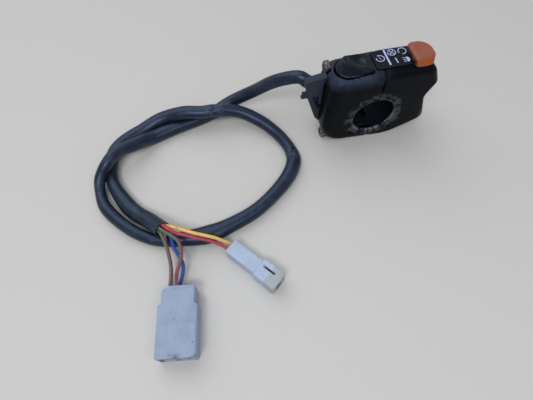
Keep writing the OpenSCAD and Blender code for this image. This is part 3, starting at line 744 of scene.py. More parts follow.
@dataclass(frozen=True)
class Nylon(Finish):
    """Milky nylon of the connectors with grime in the corners and handling marks.

    The mouth is the middle of the connector's open end, and the axis points out of it. A span
    gives the two places behind the mouth between which a mark fades in.
    """

    mouth: Point
    axis: Point
    colour: Colour = (0.335, 0.412, 0.575)
    shade: Colour = (0.265, 0.325, 0.45)
    clouds: Patches = Patches(size=0.008, low=0.35, high=0.7, share=0.6)
    gloss: float = 0.18
    roughness: float = 0.5
    smears: Grain = Grain(size=0.002, twist=0.6, stretch=(1.0, 0.25, 1.0))
    smear_rough: float = 0.16
    smear_depth: float = 0.00003
    grime: Colour = (0.13, 0.125, 0.09)
    grime_corners: Patches = Patches(size=0.003, detail=4.0, low=0.45, high=0.65, share=0.45)
    spots: Patches = Patches(size=0.0014, detail=2.0, stretch=(1.0, 0.45, 1.0), low=0.7,
                             high=0.76, share=0.7)
    rim: Span = (0.0022, 0.0004)
    rim_marks: Patches = Patches(size=0.0032, detail=4.0, low=0.5, high=0.64, share=0.75)
    tip: Optional[Colour] = None
    tip_span: Span = (0.0065, 0.0053)
    glow: float = 0.2
    glow_radius: Point = (0.8, 0.9, 1.0)
    glow_scale: float = 0.0012

    def from_mouth(self, kit: NodeKit) -> Socket:
        """How far a place lies behind the connector's mouth, in metres.

        Args:
            kit: The material's nodes.

        Returns:
            The distance along the connector.
        """
        place = zip(kit.axes(), self.mouth, self.axis)
        return kit.total(*(kit.times(kit.math("SUBTRACT", m, p), a) for p, m, a in place))

    def make(self, kit: NodeKit) -> bpy.types.Material:
        """Wire the material.

        Args:
            kit: The material's nodes.

        Returns:
            The finished material.
        """
        behind = self.from_mouth(kit)
        rim = kit.times(kit.step(behind, *self.rim), kit.patches(self.rim_marks))
        dirt = kit.most(kit.corners(self.grime_corners), kit.patches(self.spots), rim)
        smeared = kit.noise(self.smears)
        colour = kit.mix(kit.patches(self.clouds), self.colour, self.shade)
        if self.tip is not None:
            colour = kit.mix(kit.step(behind, *self.tip_span), colour, self.tip)
        return kit.surface(
            Base_Color=kit.mix(dirt, colour, self.grime),
            Roughness=kit.plus(self.roughness, smeared, self.smear_rough),
            Normal=kit.bump(smeared, self.smear_depth),
            Specular_IOR_Level=self.gloss,
            Subsurface_Weight=self.glow,
            Subsurface_Radius=self.glow_radius,
            Subsurface_Scale=self.glow_scale,
        )


@dataclass(frozen=True)
class Laminate(Finish):
    """Brown pressed board of the contact bases."""

    colour: Colour = (0.045, 0.03, 0.016)
    fibre: Colour = (0.1, 0.065, 0.03)
    weave: Patches = Patches(size=0.0008, detail=4.0, stretch=(1.0, 0.2, 1.0), low=0.4, high=0.7)
    weave_depth: float = 0.00002
    roughness: Span = (0.4, 0.65)

    def make(self, kit: NodeKit) -> bpy.types.Material:
        """Wire the material.

        Args:
            kit: The material's nodes.

        Returns:
            The finished material.
        """
        weave = kit.noise(self.weave)
        return kit.surface(
            Base_Color=kit.mix(kit.patches(self.weave), self.colour, self.fibre),
            Roughness=kit.blend(weave, *self.roughness),
            Normal=kit.bump(weave, self.weave_depth),
        )


@dataclass(frozen=True)
class Ink(Finish):
    """Pale printed ink, thin and a little worn."""

    colour: Colour = (0.48, 0.57, 0.9)
    worn: Colour = (0.2, 0.24, 0.38)
    gaps: Patches = Patches(size=0.0007, detail=4.0, low=0.56, high=0.72)
    gap_share: float = 0.7
    gap_depth: float = 0.00001
    roughness: Span = (0.45, 0.6)

    def make(self, kit: NodeKit) -> bpy.types.Material:
        """Wire the material.

        Args:
            kit: The material's nodes.

        Returns:
            The finished material.
        """
        gaps = kit.patches(self.gaps)
        return kit.surface(
            Base_Color=kit.mix(kit.times(gaps, self.gap_share), self.colour, self.worn),
            Roughness=kit.blend(gaps, *self.roughness),
            Normal=kit.bump(gaps, self.gap_depth),
        )


@dataclass(frozen=True)
class FloorPaint(Finish):
    """Pale matt floor under the object."""

    colour: Colour = (0.61, 0.61, 0.61)
    clouds: Grain = Grain(size=0.4, detail=2.0)
    cloud_light: float = 1.02
    gloss: float = 0.1
    roughness: float = 0.9

    def make(self, kit: NodeKit) -> bpy.types.Material:
        """Wire the material.

        Args:
            kit: The material's nodes.

        Returns:
            The finished material.
        """
        lighter = tuple(c * self.cloud_light for c in self.colour)
        return kit.surface(
            Base_Color=kit.mix(kit.noise(self.clouds), self.colour, lighter),
            Roughness=self.roughness,
            Specular_IOR_Level=self.gloss,
        )


HOUSING_PLASTIC = ClampPlastic("housing_black")
# The cover's black plastic is lifted to a bluish grey: a painted sheen over the whole cover.
SHEENED_COVER_PLASTIC = MouldedPlastic("cover_painted_sheen", colour=(0.031, 0.038, 0.059), gloss=0.2,
                               roughness=0.42)
BUTTON_PLASTIC = MouldedPlastic("button_black", colour=(0.0026, 0.0029, 0.0038), gloss=0.5,
                                roughness=0.24, dust_share=0.08, grain_depth=0.000004)
PLATE_PLASTIC = MouldedPlastic("plate_black", colour=(0.0044, 0.005, 0.007), gloss=0.42,
                               roughness=0.24, dust_share=0.12, grain_depth=0.000003)
CARRIER_PLASTIC = MouldedPlastic("carrier_black", colour=(0.014, 0.015, 0.017), roughness=0.5)
RUBBER = MouldedPlastic("bush_rubber", colour=(0.011, 0.012, 0.014), roughness=0.62)
KNOB_PLASTIC = AmberPlastic("knob_amber")
SCREW_STEEL = Metal("screw_zinc", coat=Coat.CORRODED, roughness=0.28)
SMALL_SCREW_STEEL = Metal("base_screw_zinc")
SPRING_STEEL = Metal("spring_wire", colour=(0.6, 0.6, 0.61), roughness=0.22)
BRASS = Metal("strip_brass", colour=(0.7, 0.46, 0.17), rust=(0.2, 0.11, 0.04), roughness=0.27)
TERMINAL_BRASS = Metal("crimp_brass", colour=(0.66, 0.52, 0.28), rust=(0.2, 0.14, 0.06))
BASE_BOARD = Laminate("base_board")
LEGEND_INK = Ink("legend_ink")
FLOOR_PAINT = FloorPaint("floor_paint")
SLEEVE_VINYL = Vinyl("loom_vinyl")
LARGE_NYLON = Nylon("milky_nylon", mouth=(-0.11689, -0.10523, -0.01225),
                    axis=(-0.1564, -0.9877, 0.0))
SMALL_NYLON = Nylon("pale_nylon", mouth=(-0.06835, -0.08358, -0.0132),
                    axis=(0.6361, -0.7716, 0.0), colour=(0.46, 0.55, 0.73),
                    shade=(0.38, 0.455, 0.61), tip=(0.4, 0.445, 0.5))
YELLOW_WIRE = Insulation("yellow_wire", (0.78, 0.55, 0.15))
RED_WIRE = Insulation("red_wire", (0.52, 0.05, 0.095))
BLUE_WIRE = Insulation("blue_wire", (0.009, 0.075, 0.42))
WHITE_WIRE = Insulation("white_wire", (0.55, 0.58, 0.64))
GREEN_WIRE_A = Insulation("green_wire_a", (0.07, 0.165, 0.09), stripe=(0.29, 0.036, 0.085),
                          stripe_turn=150.0, stripe_wind=-200.0)
GREEN_WIRE_B = replace(GREEN_WIRE_A, name="green_wire_b", stripe_turn=175.0, stripe_wind=-1500.0)


def new_piece(name: str, bm: bmesh.types.BMesh, sharp: float = SHARP_DEGREES) -> bpy.types.Object:
    """Turn a bmesh into an object at the origin with smooth shading.

    Args:
        name: Name of the piece.
        bm: The built mesh, which is freed.
        sharp: Edges that bend more than this many degrees stay sharp.

    Returns:
        The new object.
    """
    for face in bm.faces:
        face.smooth = True
    mesh = bpy.data.meshes.new(name)
    bm.to_mesh(mesh)
    bm.free()
    mesh.set_sharp_from_angle(angle=math.radians(sharp))
    piece = bpy.data.objects.new(name, mesh)
    bpy.context.scene.collection.objects.link(piece)
    return piece


def merged_solid(node: str) -> bmesh.types.BMesh:
    """A CAD node's mesh with its loose triangles merged.

    Args:
        node: The node to copy.

    Returns:
        The merged copy.
    """
    bm = bmesh.new()
    bm.from_mesh(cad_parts[node].data)
    bmesh.ops.remove_doubles(bm, verts=bm.verts, dist=WELD)
    return bm


def eased_copy(node: str, name: str, ease: float) -> bpy.types.Object:
    """Copy a CAD node as one clean mesh with eased edges.

    Args:
        node: The node to copy.
        name: Name of the copy.
        ease: Width of the eased edges in metres.

    Returns:
        The copy.
    """
    bm = merged_solid(node)
    bmesh.ops.dissolve_limit(bm, angle_limit=FLAT_ANGLE, verts=bm.verts, edges=bm.edges)
    piece = new_piece(name, bm)
    bevel = piece.modifiers.new("eased_edges", "BEVEL")
    bevel.width = ease
    bevel.segments = EASE_SEGMENTS
    bevel.limit_method = "ANGLE"
    bevel.angle_limit = EASE_ANGLE
    bevel.use_clamp_overlap = False
    bevel.harden_normals = False
    normals = piece.modifiers.new("even_shading", "WEIGHTED_NORMAL")
    normals.keep_sharp = True
    return piece


def softened_copy(node: str, name: str, grid: float, rounds: int) -> bpy.types.Object:
    """Copy a CAD node with a new even skin whose edges are softly worn.

    Args:
        node: The node to copy.
        name: Name of the copy.
        grid: Size of the skin's faces in metres.
        rounds: How often the skin is smoothed.

    Returns:
        The copy.
    """
    piece = new_piece(name, merged_solid(node), NEVER_SHARP)
    skin = piece.modifiers.new("even_skin", "REMESH")
    skin.mode = "VOXEL"
    skin.voxel_size = grid
    skin.use_smooth_shade = True
    worn = piece.modifiers.new("worn_edges", "SMOOTH")
    worn.factor = SMOOTH_FACTOR
    worn.iterations = rounds
    return piece


def dress(piece: bpy.types.Object, finish: Finish) -> None:
    """Give a piece its finish in place of any other."""
    piece.data.materials.clear()
    piece.data.materials.append(finish.material())


def seat(piece: bpy.types.Object, body: Body, finish: Finish,
         node: Optional[str] = None) -> None:
    """Dress a new piece, let it ride on its body and hide the CAD node that it stands for.

    Args:
        piece: The piece.
        body: The body that carries it.
        finish: Its finish.
        node: CAD node that it stands for.
    """
    dress(piece, finish)
    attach(piece, body.value)
    if node:
        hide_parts(node)
    LOG.info("%s rides on %s", piece.name, body.value)


def dress_nodes(finish: Finish, *nodes: str) -> None:
    """Give CAD nodes that keep their own mesh a finish.

    Args:
        finish: The finish.
        nodes: Names of the nodes.
    """
    for node in nodes:
        dress(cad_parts[node], finish)
        LOG.info("%s keeps its solid", node)


@dataclass(frozen=True)
class Section:
    """Cross-section of a tube at one ring: half sizes, wear, and how far it lies off the path."""

    half_w: float
    half_h: float
    worn: float = 0.0
    shift: float = 0.0
    drop: float = 0.0


def smooth_path(route: Route, steps: int) -> list[Vector]:
    """Points on one smooth curve through a route.

    Args:
        route: The route's own points.
        steps: Points for each stretch between two of them.

    Returns:
        The curve's points, ends included.
    """
    points = [Vector(p) for p in route]
    ends = [2 * points[0] - points[1], *points, 2 * points[-1] - points[-2]]
    path = []
    for a, b, c, d in zip(ends, ends[1:], ends[2:], ends[3:]):
        for k in range(steps):
            t = k / steps
            bend = (2 * a - 5 * b + 4 * c - d) * t * t + (3 * b - a - 3 * c + d) * t ** 3
            path.append(0.5 * (2 * b + (c - a) * t + bend))
    path.append(points[-1])
    return path


def ways_along(path: Sequence[Vector]) -> list[float]:
    """The way from a path's start to each of its points.

    Args:
        path: The path.

    Returns:
        The ways in metres, the last one being the path's length.
    """
    ways = [0.0]
    for a, b in zip(path, path[1:]):
        ways.append(ways[-1] + (b - a).length)
    return ways


def ring_place(path: Sequence[Vector], i: int, section: Section) -> Matrix:
    """Place and size of a tube's ring, with its width level.

    Args:
        path: The tube's centre line.
        i: Number of the ring.
        section: Its size.

    Returns:
        Matrix that takes a unit circle to the ring.
    """
    ahead = (path[min(i + 1, len(path) - 1)] - path[max(i - 1, 0)]).normalized()
    side = ahead.cross(UP).normalized()
    place = Matrix((side * section.half_w, side.cross(ahead) * section.half_h, ahead))
    place = place.transposed().to_4x4()
    place.translation = path[i] + side * section.shift - UP * section.drop
    return place


class Tube:
    """A tube that is extruded ring by ring along a path.

    Its attribute lay holds the cosine and sine round the tube and the way along it, and worn
    holds the wear.
    """

    def __init__(self, path: Sequence[Vector], section: Callable[[int], Section],
                 sides: int) -> None:
        """Start the tube with its first ring.

        Args:
            path: Centre line.
            section: Cross-section by the number of the ring.
            sides: Sides of a ring.
        """
        self.path = path
        self.ways = ways_along(path)
        self.section = section
        self.bm = bmesh.new()
        self.lay = self.bm.verts.layers.float_vector.new("lay")
        self.worn = self.bm.verts.layers.float.new("worn")
        bmesh.ops.create_circle(self.bm, cap_ends=False, radius=1.0, segments=sides)
        for vert in self.bm.verts:
            vert[self.lay] = vert.co.copy()
        self.edges = list(self.bm.edges)
        self.place = Matrix.Identity(4)
        self.move_ring(list(self.bm.verts), 0, section(0))

    def move_ring(self, verts: list[bmesh.types.BMVert], i: int, section: Section) -> None:
        """Move the last ring along the path and note its way and wear.

        Args:
            verts: The ring's vertices.
            i: Number of the path's point that it goes to.
            section: Its cross-section there.
        """
        place = ring_place(self.path, i, section)
        bmesh.ops.transform(self.bm, matrix=place @ self.place.inverted(), verts=verts)
        self.place = place
        for vert in verts:
            vert[self.lay] = (vert[self.lay].x, vert[self.lay].y, self.ways[i])
            vert[self.worn] = section.worn

    def grow(self, i: int, section: Section) -> None:
        """Extrude the last ring to a new place.

        Args:
            i: Number of the path's point that it goes to.
            section: Its cross-section there.
        """
        made = bmesh.ops.extrude_edge_only(self.bm, edges=self.edges)["geom"]
        self.edges = [g for g in made if isinstance(g, bmesh.types.BMEdge) and g.is_boundary]
        verts = [g for g in made if isinstance(g, bmesh.types.BMVert)]
        self.move_ring(verts, i, section)

    def close(self) -> None:
        """Close the last ring with one face."""
        bmesh.ops.contextual_create(self.bm, geom=self.edges)

    def run(self, mouth_wall: float = 0.0, mouth_depth: float = 0.0) -> bmesh.types.BMesh:
        """Extrude the whole tube and close its ends.

        Args:
            mouth_wall: Wall of an open far end, or 0 for a closed one.
            mouth_depth: How deep the open end is hollow.

        Returns:
            The closed mesh.
        """
        self.close()
        for i in range(1, len(self.path)):
            self.grow(i, self.section(i))
        if mouth_wall:
            self.hollow_mouth(mouth_wall, mouth_depth)
        self.close()
        bmesh.ops.recalc_face_normals(self.bm, faces=self.bm.faces)
        return self.bm

    def hollow_mouth(self, wall: float, depth: float) -> None:
        """Turn the far end inwards and back along the path.

        Args:
            wall: Thickness of the wall.
            depth: How far the hollow goes in.
        """
        for i in reversed(range(len(self.path))):
            if self.ways[-1] - self.ways[i] > depth:
                break
            outer = self.section(i)
            self.grow(i, replace(outer, half_w=outer.half_w - wall, half_h=outer.half_h - wall))


def round_tube(name: str, path: Sequence[Vector], diameter: float, sides: int) -> bpy.types.Object:
    """A round closed tube along a path.

    Args:
        name: Name of the piece.
        path: Centre line.
        diameter: Its thickness all along.
        sides: Sides of a ring.

    Returns:
        The piece.
    """
    section = Section(diameter / 2, diameter / 2)
    return new_piece(name, Tube(path, lambda ring: section, sides).run())


@dataclass(frozen=True)
class Softbox:
    """An oblong lamp: its place, its width and height in metres and its power in watts."""

    name: str
    place: Point
    size: Spot
    power: float


@dataclass
class Studio:
    """Floor, soft lights and the camera."""

    camera_at: Point = (-0.0845, -0.1289, 0.159)
    camera_turn: Point = (27.9, 0.0, -12.6)
    lens: float = 26.0
    sensor: float = 36.0
    near_clip: float = 0.005
    floor_half: float = 2.5
    floor_cells: int = 4
    sky: Colour = (1.0, 1.0, 1.0)
    sky_strength: float = 0.36
    lamps: Sequence[Softbox] = (
        Softbox("back_softbox", (-0.35, 0.55, 0.85), (1.1, 1.1), 4.7),
        Softbox("camera_softbox", (-0.3, -0.38, 0.62), (0.22, 0.18), 1.7),
        Softbox("front_strip", (0.12, -0.42, 0.68), (0.55, 0.16), 0.8),
    )
    aim: Point = (-0.06, -0.03, 0.0)

    def build(self) -> None:
        """Set up the floor, the world, the lamps and the camera."""
        self.floor()
        self.world()
        for box in self.lamps:
            self.lamp(box)
        self.camera()
        bpy.context.scene.view_settings.view_transform = "Standard"

    def floor(self) -> None:
        """Pale floor at the level of the part's sole."""
        bm = bmesh.new()
        bmesh.ops.create_grid(bm, x_segments=self.floor_cells, y_segments=self.floor_cells,
                              size=self.floor_half)
        bmesh.ops.translate(bm, verts=bm.verts, vec=(0.0, 0.0, CAD_BOX[0].z))
        floor = new_piece("floor", bm)
        dress(floor, FLOOR_PAINT)

    def world(self) -> None:
        """Even white sky."""
        world = bpy.data.worlds.new("sky")
        world.use_nodes = True
        background = world.node_tree.nodes["Background"]
        background.inputs["Color"].default_value = (*self.sky, 1.0)
        background.inputs["Strength"].default_value = self.sky_strength
        bpy.context.scene.world = world

    def lamp(self, box: Softbox) -> None:
        """Hang a softbox and aim it at the object.

        Args:
            box: The softbox.
        """
        light = bpy.data.lights.new(box.name, "AREA")
        light.shape = "RECTANGLE"
        light.size, light.size_y = box.size
        light.energy = box.power
        holder = bpy.data.objects.new(box.name, light)
        holder.location = box.place
        ahead = Vector(self.aim) - Vector(box.place)
        holder.rotation_euler = ahead.to_track_quat("-Z", "Y").to_euler()
        bpy.context.scene.collection.objects.link(holder)

    def camera(self) -> None:
        """Camera at the photograph's viewing angle."""
        lens = bpy.data.cameras.new("camera")
        lens.sensor_width = self.sensor
        lens.sensor_fit = "HORIZONTAL"
        lens.lens = self.lens
        lens.clip_start = self.near_clip
        camera = bpy.data.objects.new("camera", lens)
        camera.location = self.camera_at
        camera.rotation_euler = [math.radians(a) for a in self.camera_turn]
        bpy.context.scene.collection.objects.link(camera)
        bpy.context.scene.camera = camera


@dataclass
class Housing:
    """The two clamp halves, their screws and the bush at the cable exit."""

    shell_grid: float = 0.00034
    shell_rounds: int = 3
    screw_ease: float = 0.00015
    bush_ease: float = 0.0003

    def build(self) -> None:
        """Make and dress the housing's pieces."""
        for half in ("starter_half", "kill_half"):
            shell = softened_copy(f"{half}_shell", half, self.shell_grid, self.shell_rounds)
            seat(shell, Body.HOUSING, HOUSING_PLASTIC, f"{half}_shell")
        screws = eased_copy("clamp_screws", "clamp_screw_pair", self.screw_ease)
        seat(screws, Body.HOUSING, SCREW_STEEL, "clamp_screws")
        bush = eased_copy("cable_grommet", "exit_bush", self.bush_ease)
        seat(bush, Body.HOUSING, RUBBER, "cable_grommet")
        dress_nodes(BRASS, "threaded_inserts")


@dataclass
class CableCover:
    """Cover over the cable end."""

    grid: float = 0.00016
    rounds: int = 9

    def build(self) -> None:
        """Make and dress the cover."""
        cover = softened_copy("cable_cover", "end_cover", self.grid, self.rounds)
        seat(cover, Body.HOUSING, SHEENED_COVER_PLASTIC, "cable_cover")


@dataclass
class LegendPlate:
    """Plate between the button and the slider, with its printed signs.

    A share is one of the line's width for the bolt, the arrow heads and the width of a stroke,
    of the circle's diameter for the cross and the lamp's bowl, and of the bowl's radius for the
    length and the places of the lamp's rays. The bolt's lean is a share of its step.
    """

    ease: float = 0.00022
    ink_rise: float = 0.00004
    line: float = 0.0004
    bar_at: Spot = (0.0031, 0.0006)
    bar_size: Spot = (0.0009, 0.0102)
    start_at: Spot = (-0.0003, 0.0005)
    off_at: Spot = (0.0064, 0.0033)
    run_at: Spot = (0.0117, 0.0032)
    upper_gap: float = 135.0
    lower_gap: float = 225.0
    circle_d: float = 0.0039
    ring_gap: float = 60.0
    arc_steps: int = 28
    head_share: float = 1.5
    head_corners: int = 3
    bolt_turn: float = 18.0
    bolt_width_share: float = 0.8
    bolt_length_share: float = 2.6
    bolt_step_share: float = 0.7
    bolt_lean: float = 0.45
    cross_turn: float = 45.0
    cross_share: float = 1.2
    dash_at: Spot = (0.0069, -0.0023)
    dash_turn: float = 4.0
    dash_width_share: float = 1.4
    dash_length: float = 0.0034
    lamp_at: Spot = (0.0118, -0.0026)
    bowl_share: float = 0.42
    ray_turn: float = -8.0
    ray_width_share: float = 0.9
    ray_length_share: float = 0.8
    ray_inset_share: float = 0.62
    ray_pitch_share: float = 0.7

    def build(self) -> None:
        """Make the plate and its signs."""
        plate = eased_copy("legend_plate", "legend_panel", self.ease)
        seat(plate, Body.HOUSING, PLATE_PLASTIC, "legend_plate")
        seat(self.signs(), Body.HOUSING, LEGEND_INK)

    def signs(self) -> bpy.types.Object:
        """All printed signs as one thin raised piece.

        Returns:
            The piece.
        """
        bm = bmesh.new()
        self.bar(bm, self.bar_at, self.bar_size)
        self.turning_arrow(bm, self.start_at, self.upper_gap)
        self.bolt(bm, self.start_at)
        self.turning_arrow(bm, self.off_at, self.upper_gap)
        for turn in (self.cross_turn, -self.cross_turn):
            self.bar(bm, self.off_at, (self.line, self.circle_d * self.cross_share), turn)
        self.turning_arrow(bm, self.run_at, self.lower_gap)
        self.bar(bm, self.dash_at, (self.line * self.dash_width_share, self.dash_length),
                 self.dash_turn)
        self.lamp(bm)
        raised = bmesh.ops.extrude_face_region(bm, geom=bm.faces[:])["geom"]
        lifted = [g for g in raised if isinstance(g, bmesh.types.BMVert)]
        bmesh.ops.translate(bm, verts=lifted, vec=(0.0, 0.0, self.ink_rise))
        plate_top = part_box("legend_plate")[1].z
        bmesh.ops.translate(bm, verts=bm.verts, vec=(0.0, 0.0, plate_top))
        bmesh.ops.recalc_face_normals(bm, faces=bm.faces)
        return new_piece("legend_signs", bm)

    def bar(self, bm: bmesh.types.BMesh, at: Spot, size: Spot, turn: float = 0.0) -> None:
        """A straight stroke.

        Args:
            bm: Where it is drawn.
            at: Its middle.
            size: Its size along X and Y before it is turned.
            turn: Turn in degrees.
        """
        place = Matrix.Translation((*at, 0.0)) @ Matrix.Rotation(math.radians(turn), 4, "Z")
        place = place @ Matrix.Diagonal((*size, 1.0, 1.0))
        bmesh.ops.create_grid(bm, x_segments=1, y_segments=1, size=0.5, matrix=place)

    def turning_arrow(self, bm: bmesh.types.BMesh, at: Spot, gap_at: float) -> None:
        """An open circle with an arrow head at its end.

        Args:
            bm: Where it is drawn.
            at: Its middle.
            gap_at: Where the circle is open, in degrees.
        """
        radius = self.circle_d / 2
        start = math.radians(gap_at + self.ring_gap / 2)
        sweep = math.radians(360.0 - self.ring_gap)
        aim = Vector((math.cos(start), math.sin(start), 0.0))
        centre = Vector((*at, 0.0))
        ends = [bm.verts.new(centre + aim * (radius + k * self.line / 2)) for k in (-1, 1)]
        stroke = bm.edges.new(ends)
        bmesh.ops.spin(bm, geom=[*ends, stroke], cent=centre, axis=UP, angle=sweep,
                       steps=self.arc_steps, use_merge=False, use_duplicate=False)
        tip = start + sweep
        head = Matrix.Translation(centre + Vector((math.cos(tip), math.sin(tip), 0.0)) * radius)
        bmesh.ops.create_circle(bm, cap_ends=True, radius=self.line * self.head_share,
                                segments=self.head_corners,
                                matrix=head @ Matrix.Rotation(tip, 4, "Z"))

    def bolt(self, bm: bmesh.types.BMesh, at: Spot) -> None:
        """A small lightning stroke inside a circle.

        Args:
            bm: Where it is drawn.
            at: Its middle.
        """
        reach = self.line * self.bolt_step_share
        size = (self.line * self.bolt_width_share, self.line * self.bolt_length_share)
        for side in (-1, 1):
            middle = (at[0] + side * reach * self.bolt_lean, at[1] - side * reach)
            self.bar(bm, middle, size, self.bolt_turn)

    def lamp(self, bm: bmesh.types.BMesh) -> None:
        """A headlamp sign: a half round bowl and its rays.

        Args:
            bm: Where it is drawn.
        """
        radius = self.circle_d * self.bowl_share
        at = Vector((*self.lamp_at, 0.0))
        half = bmesh.ops.create_circle(bm, cap_ends=True, radius=radius, segments=self.arc_steps,
                                       matrix=Matrix.Translation(at))["verts"]
        edges = {e for v in half for e in v.link_edges}
        faces = {f for v in half for f in v.link_faces}
        bmesh.ops.bisect_plane(bm, geom=[*half, *edges, *faces], plane_co=at,
                               plane_no=(-1.0, 0.0, 0.0), clear_outer=True)
        size = (radius * self.ray_length_share, self.line * self.ray_width_share)
        for k in (-1, 0, 1):
            middle = (at.x - radius * self.ray_inset_share,
                      at.y + k * radius * self.ray_pitch_share)
            self.bar(bm, middle, size, self.ray_turn)


@dataclass
class StarterSwitch:
    """Thumb button, its return spring and the contacts under it."""

    grid: float = 0.00013
    rounds: int = 5
    wire_d: float = 0.0006
    wire_sides: int = 10
    turns: int = 4
    turn_steps: int = 24
    travel: float = 0.0025

    def build(self) -> None:
        """Make and dress the starter's pieces."""
        cap = softened_copy("start_button", "start_cap", self.grid, self.rounds)
        seat(cap, Body.START_BUTTON, BUTTON_PLASTIC, "start_button")
        self.spring()
        dress_nodes(BRASS, "start_contact_bridge", "start_fixed_contacts")
        dress_nodes(BASE_BOARD, "start_contact_base")
        dress_nodes(SMALL_SCREW_STEEL, "start_base_screws")

    def spring(self) -> None:
        """Return spring coil in the place of the CAD spring."""
        low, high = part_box("start_return_spring")
        radius = (high.x - low.x - self.wire_d) / 2
        middle = (low + high) / 2
        count = self.turns * self.turn_steps
        foot = low.z + self.wire_d / 2
        rise = high.z - low.z - self.wire_d
        path = []
        for i in range(count + 1):
            turn = 2 * math.pi * i / self.turn_steps
            path.append(Vector((middle.x + radius * math.cos(turn),
                                middle.y + radius * math.sin(turn), foot + rise * i / count)))
        coil = round_tube("return_coil", path, self.wire_d, self.wire_sides)
        seat(coil, Body.HOUSING, SPRING_STEEL, "start_return_spring")
        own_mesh(coil)


@dataclass
class KillSwitch:
    """Slider knob, its carrier and the contacts under the plate."""

    grid: float = 0.00015
    rounds: int = 6
    front_lean: float = 0.0017

    def lean(self, cap: bpy.types.Object) -> None:
        """Lean the knob's front face back towards its top.

        Args:
            cap: The knob's piece.
        """
        low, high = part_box("kill_knob")
        middle = (low.y + high.y) / 2
        for vert in cap.data.vertices:
            ahead = max(0.0, (middle - vert.co.y) / (middle - low.y))
            rise = (vert.co.z - low.z) / (high.z - low.z)
            vert.co.y += self.front_lean * ahead * rise

    def build(self) -> None:
        """Make and dress the kill switch's pieces."""
        cap = softened_copy("kill_knob", "kill_cap", self.grid, self.rounds)
        self.lean(cap)
        seat(cap, Body.KILL_SLIDER, KNOB_PLASTIC, "kill_knob")
        dress_nodes(CARRIER_PLASTIC, "kill_slider_carrier")
        dress_nodes(BRASS, "kill_contact_wiper", "kill_fixed_contacts")
        dress_nodes(SPRING_STEEL, "kill_detent_spring")
        dress_nodes(BASE_BOARD, "kill_contact_base")
        dress_nodes(SMALL_SCREW_STEEL, "kill_base_screws")


@dataclass
class Connectors:
    """The two nylon connectors and their terminals."""

    grid: float = 0.00028
    rounds: int = 4
    large: list[bpy.types.Object] = field(default_factory=list)
    small: list[bpy.types.Object] = field(default_factory=list)

    def build(self) -> None:
        """Make and dress the connectors."""
        self.large = self.plug("main_connector", "large_plug", LARGE_NYLON)
        self.small = self.plug("aux_connector", "small_plug", SMALL_NYLON)

    def plug(self, node: str, name: str, finish: Nylon) -> list[bpy.types.Object]:
        """One connector with its terminals.

        Args:
            node: First part of its nodes' names.
            name: Name of its piece.
            finish: Its nylon.

        Returns:
            The pieces that hang on its wires.
        """
        piece = softened_copy(f"{node}_housing", name, self.grid, self.rounds)
        seat(piece, Body.HOUSING, finish, f"{node}_housing")
        dress_nodes(TERMINAL_BRASS, f"{node}_terminals")
        return [piece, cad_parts[f"{node}_terminals"]]


@dataclass(frozen=True)
class Squeeze:
    """A place where the sleeve is flattened, swollen or creased, counted in its route's points."""

    at: float
    spread: float
    wide: float = 1.0
    high: float = 1.0
    worn: float = 0.0


@dataclass(frozen=True)
class Ripple:
    """A sine wave in the sleeve's width: its share, its metres to a radian and its first angle."""

    share: float
    reach: float
    start: float = 0.0


@dataclass(frozen=True)
class Wire:
    """A wire's name, insulation and route."""

    name: str
    finish: Insulation
    route: Route


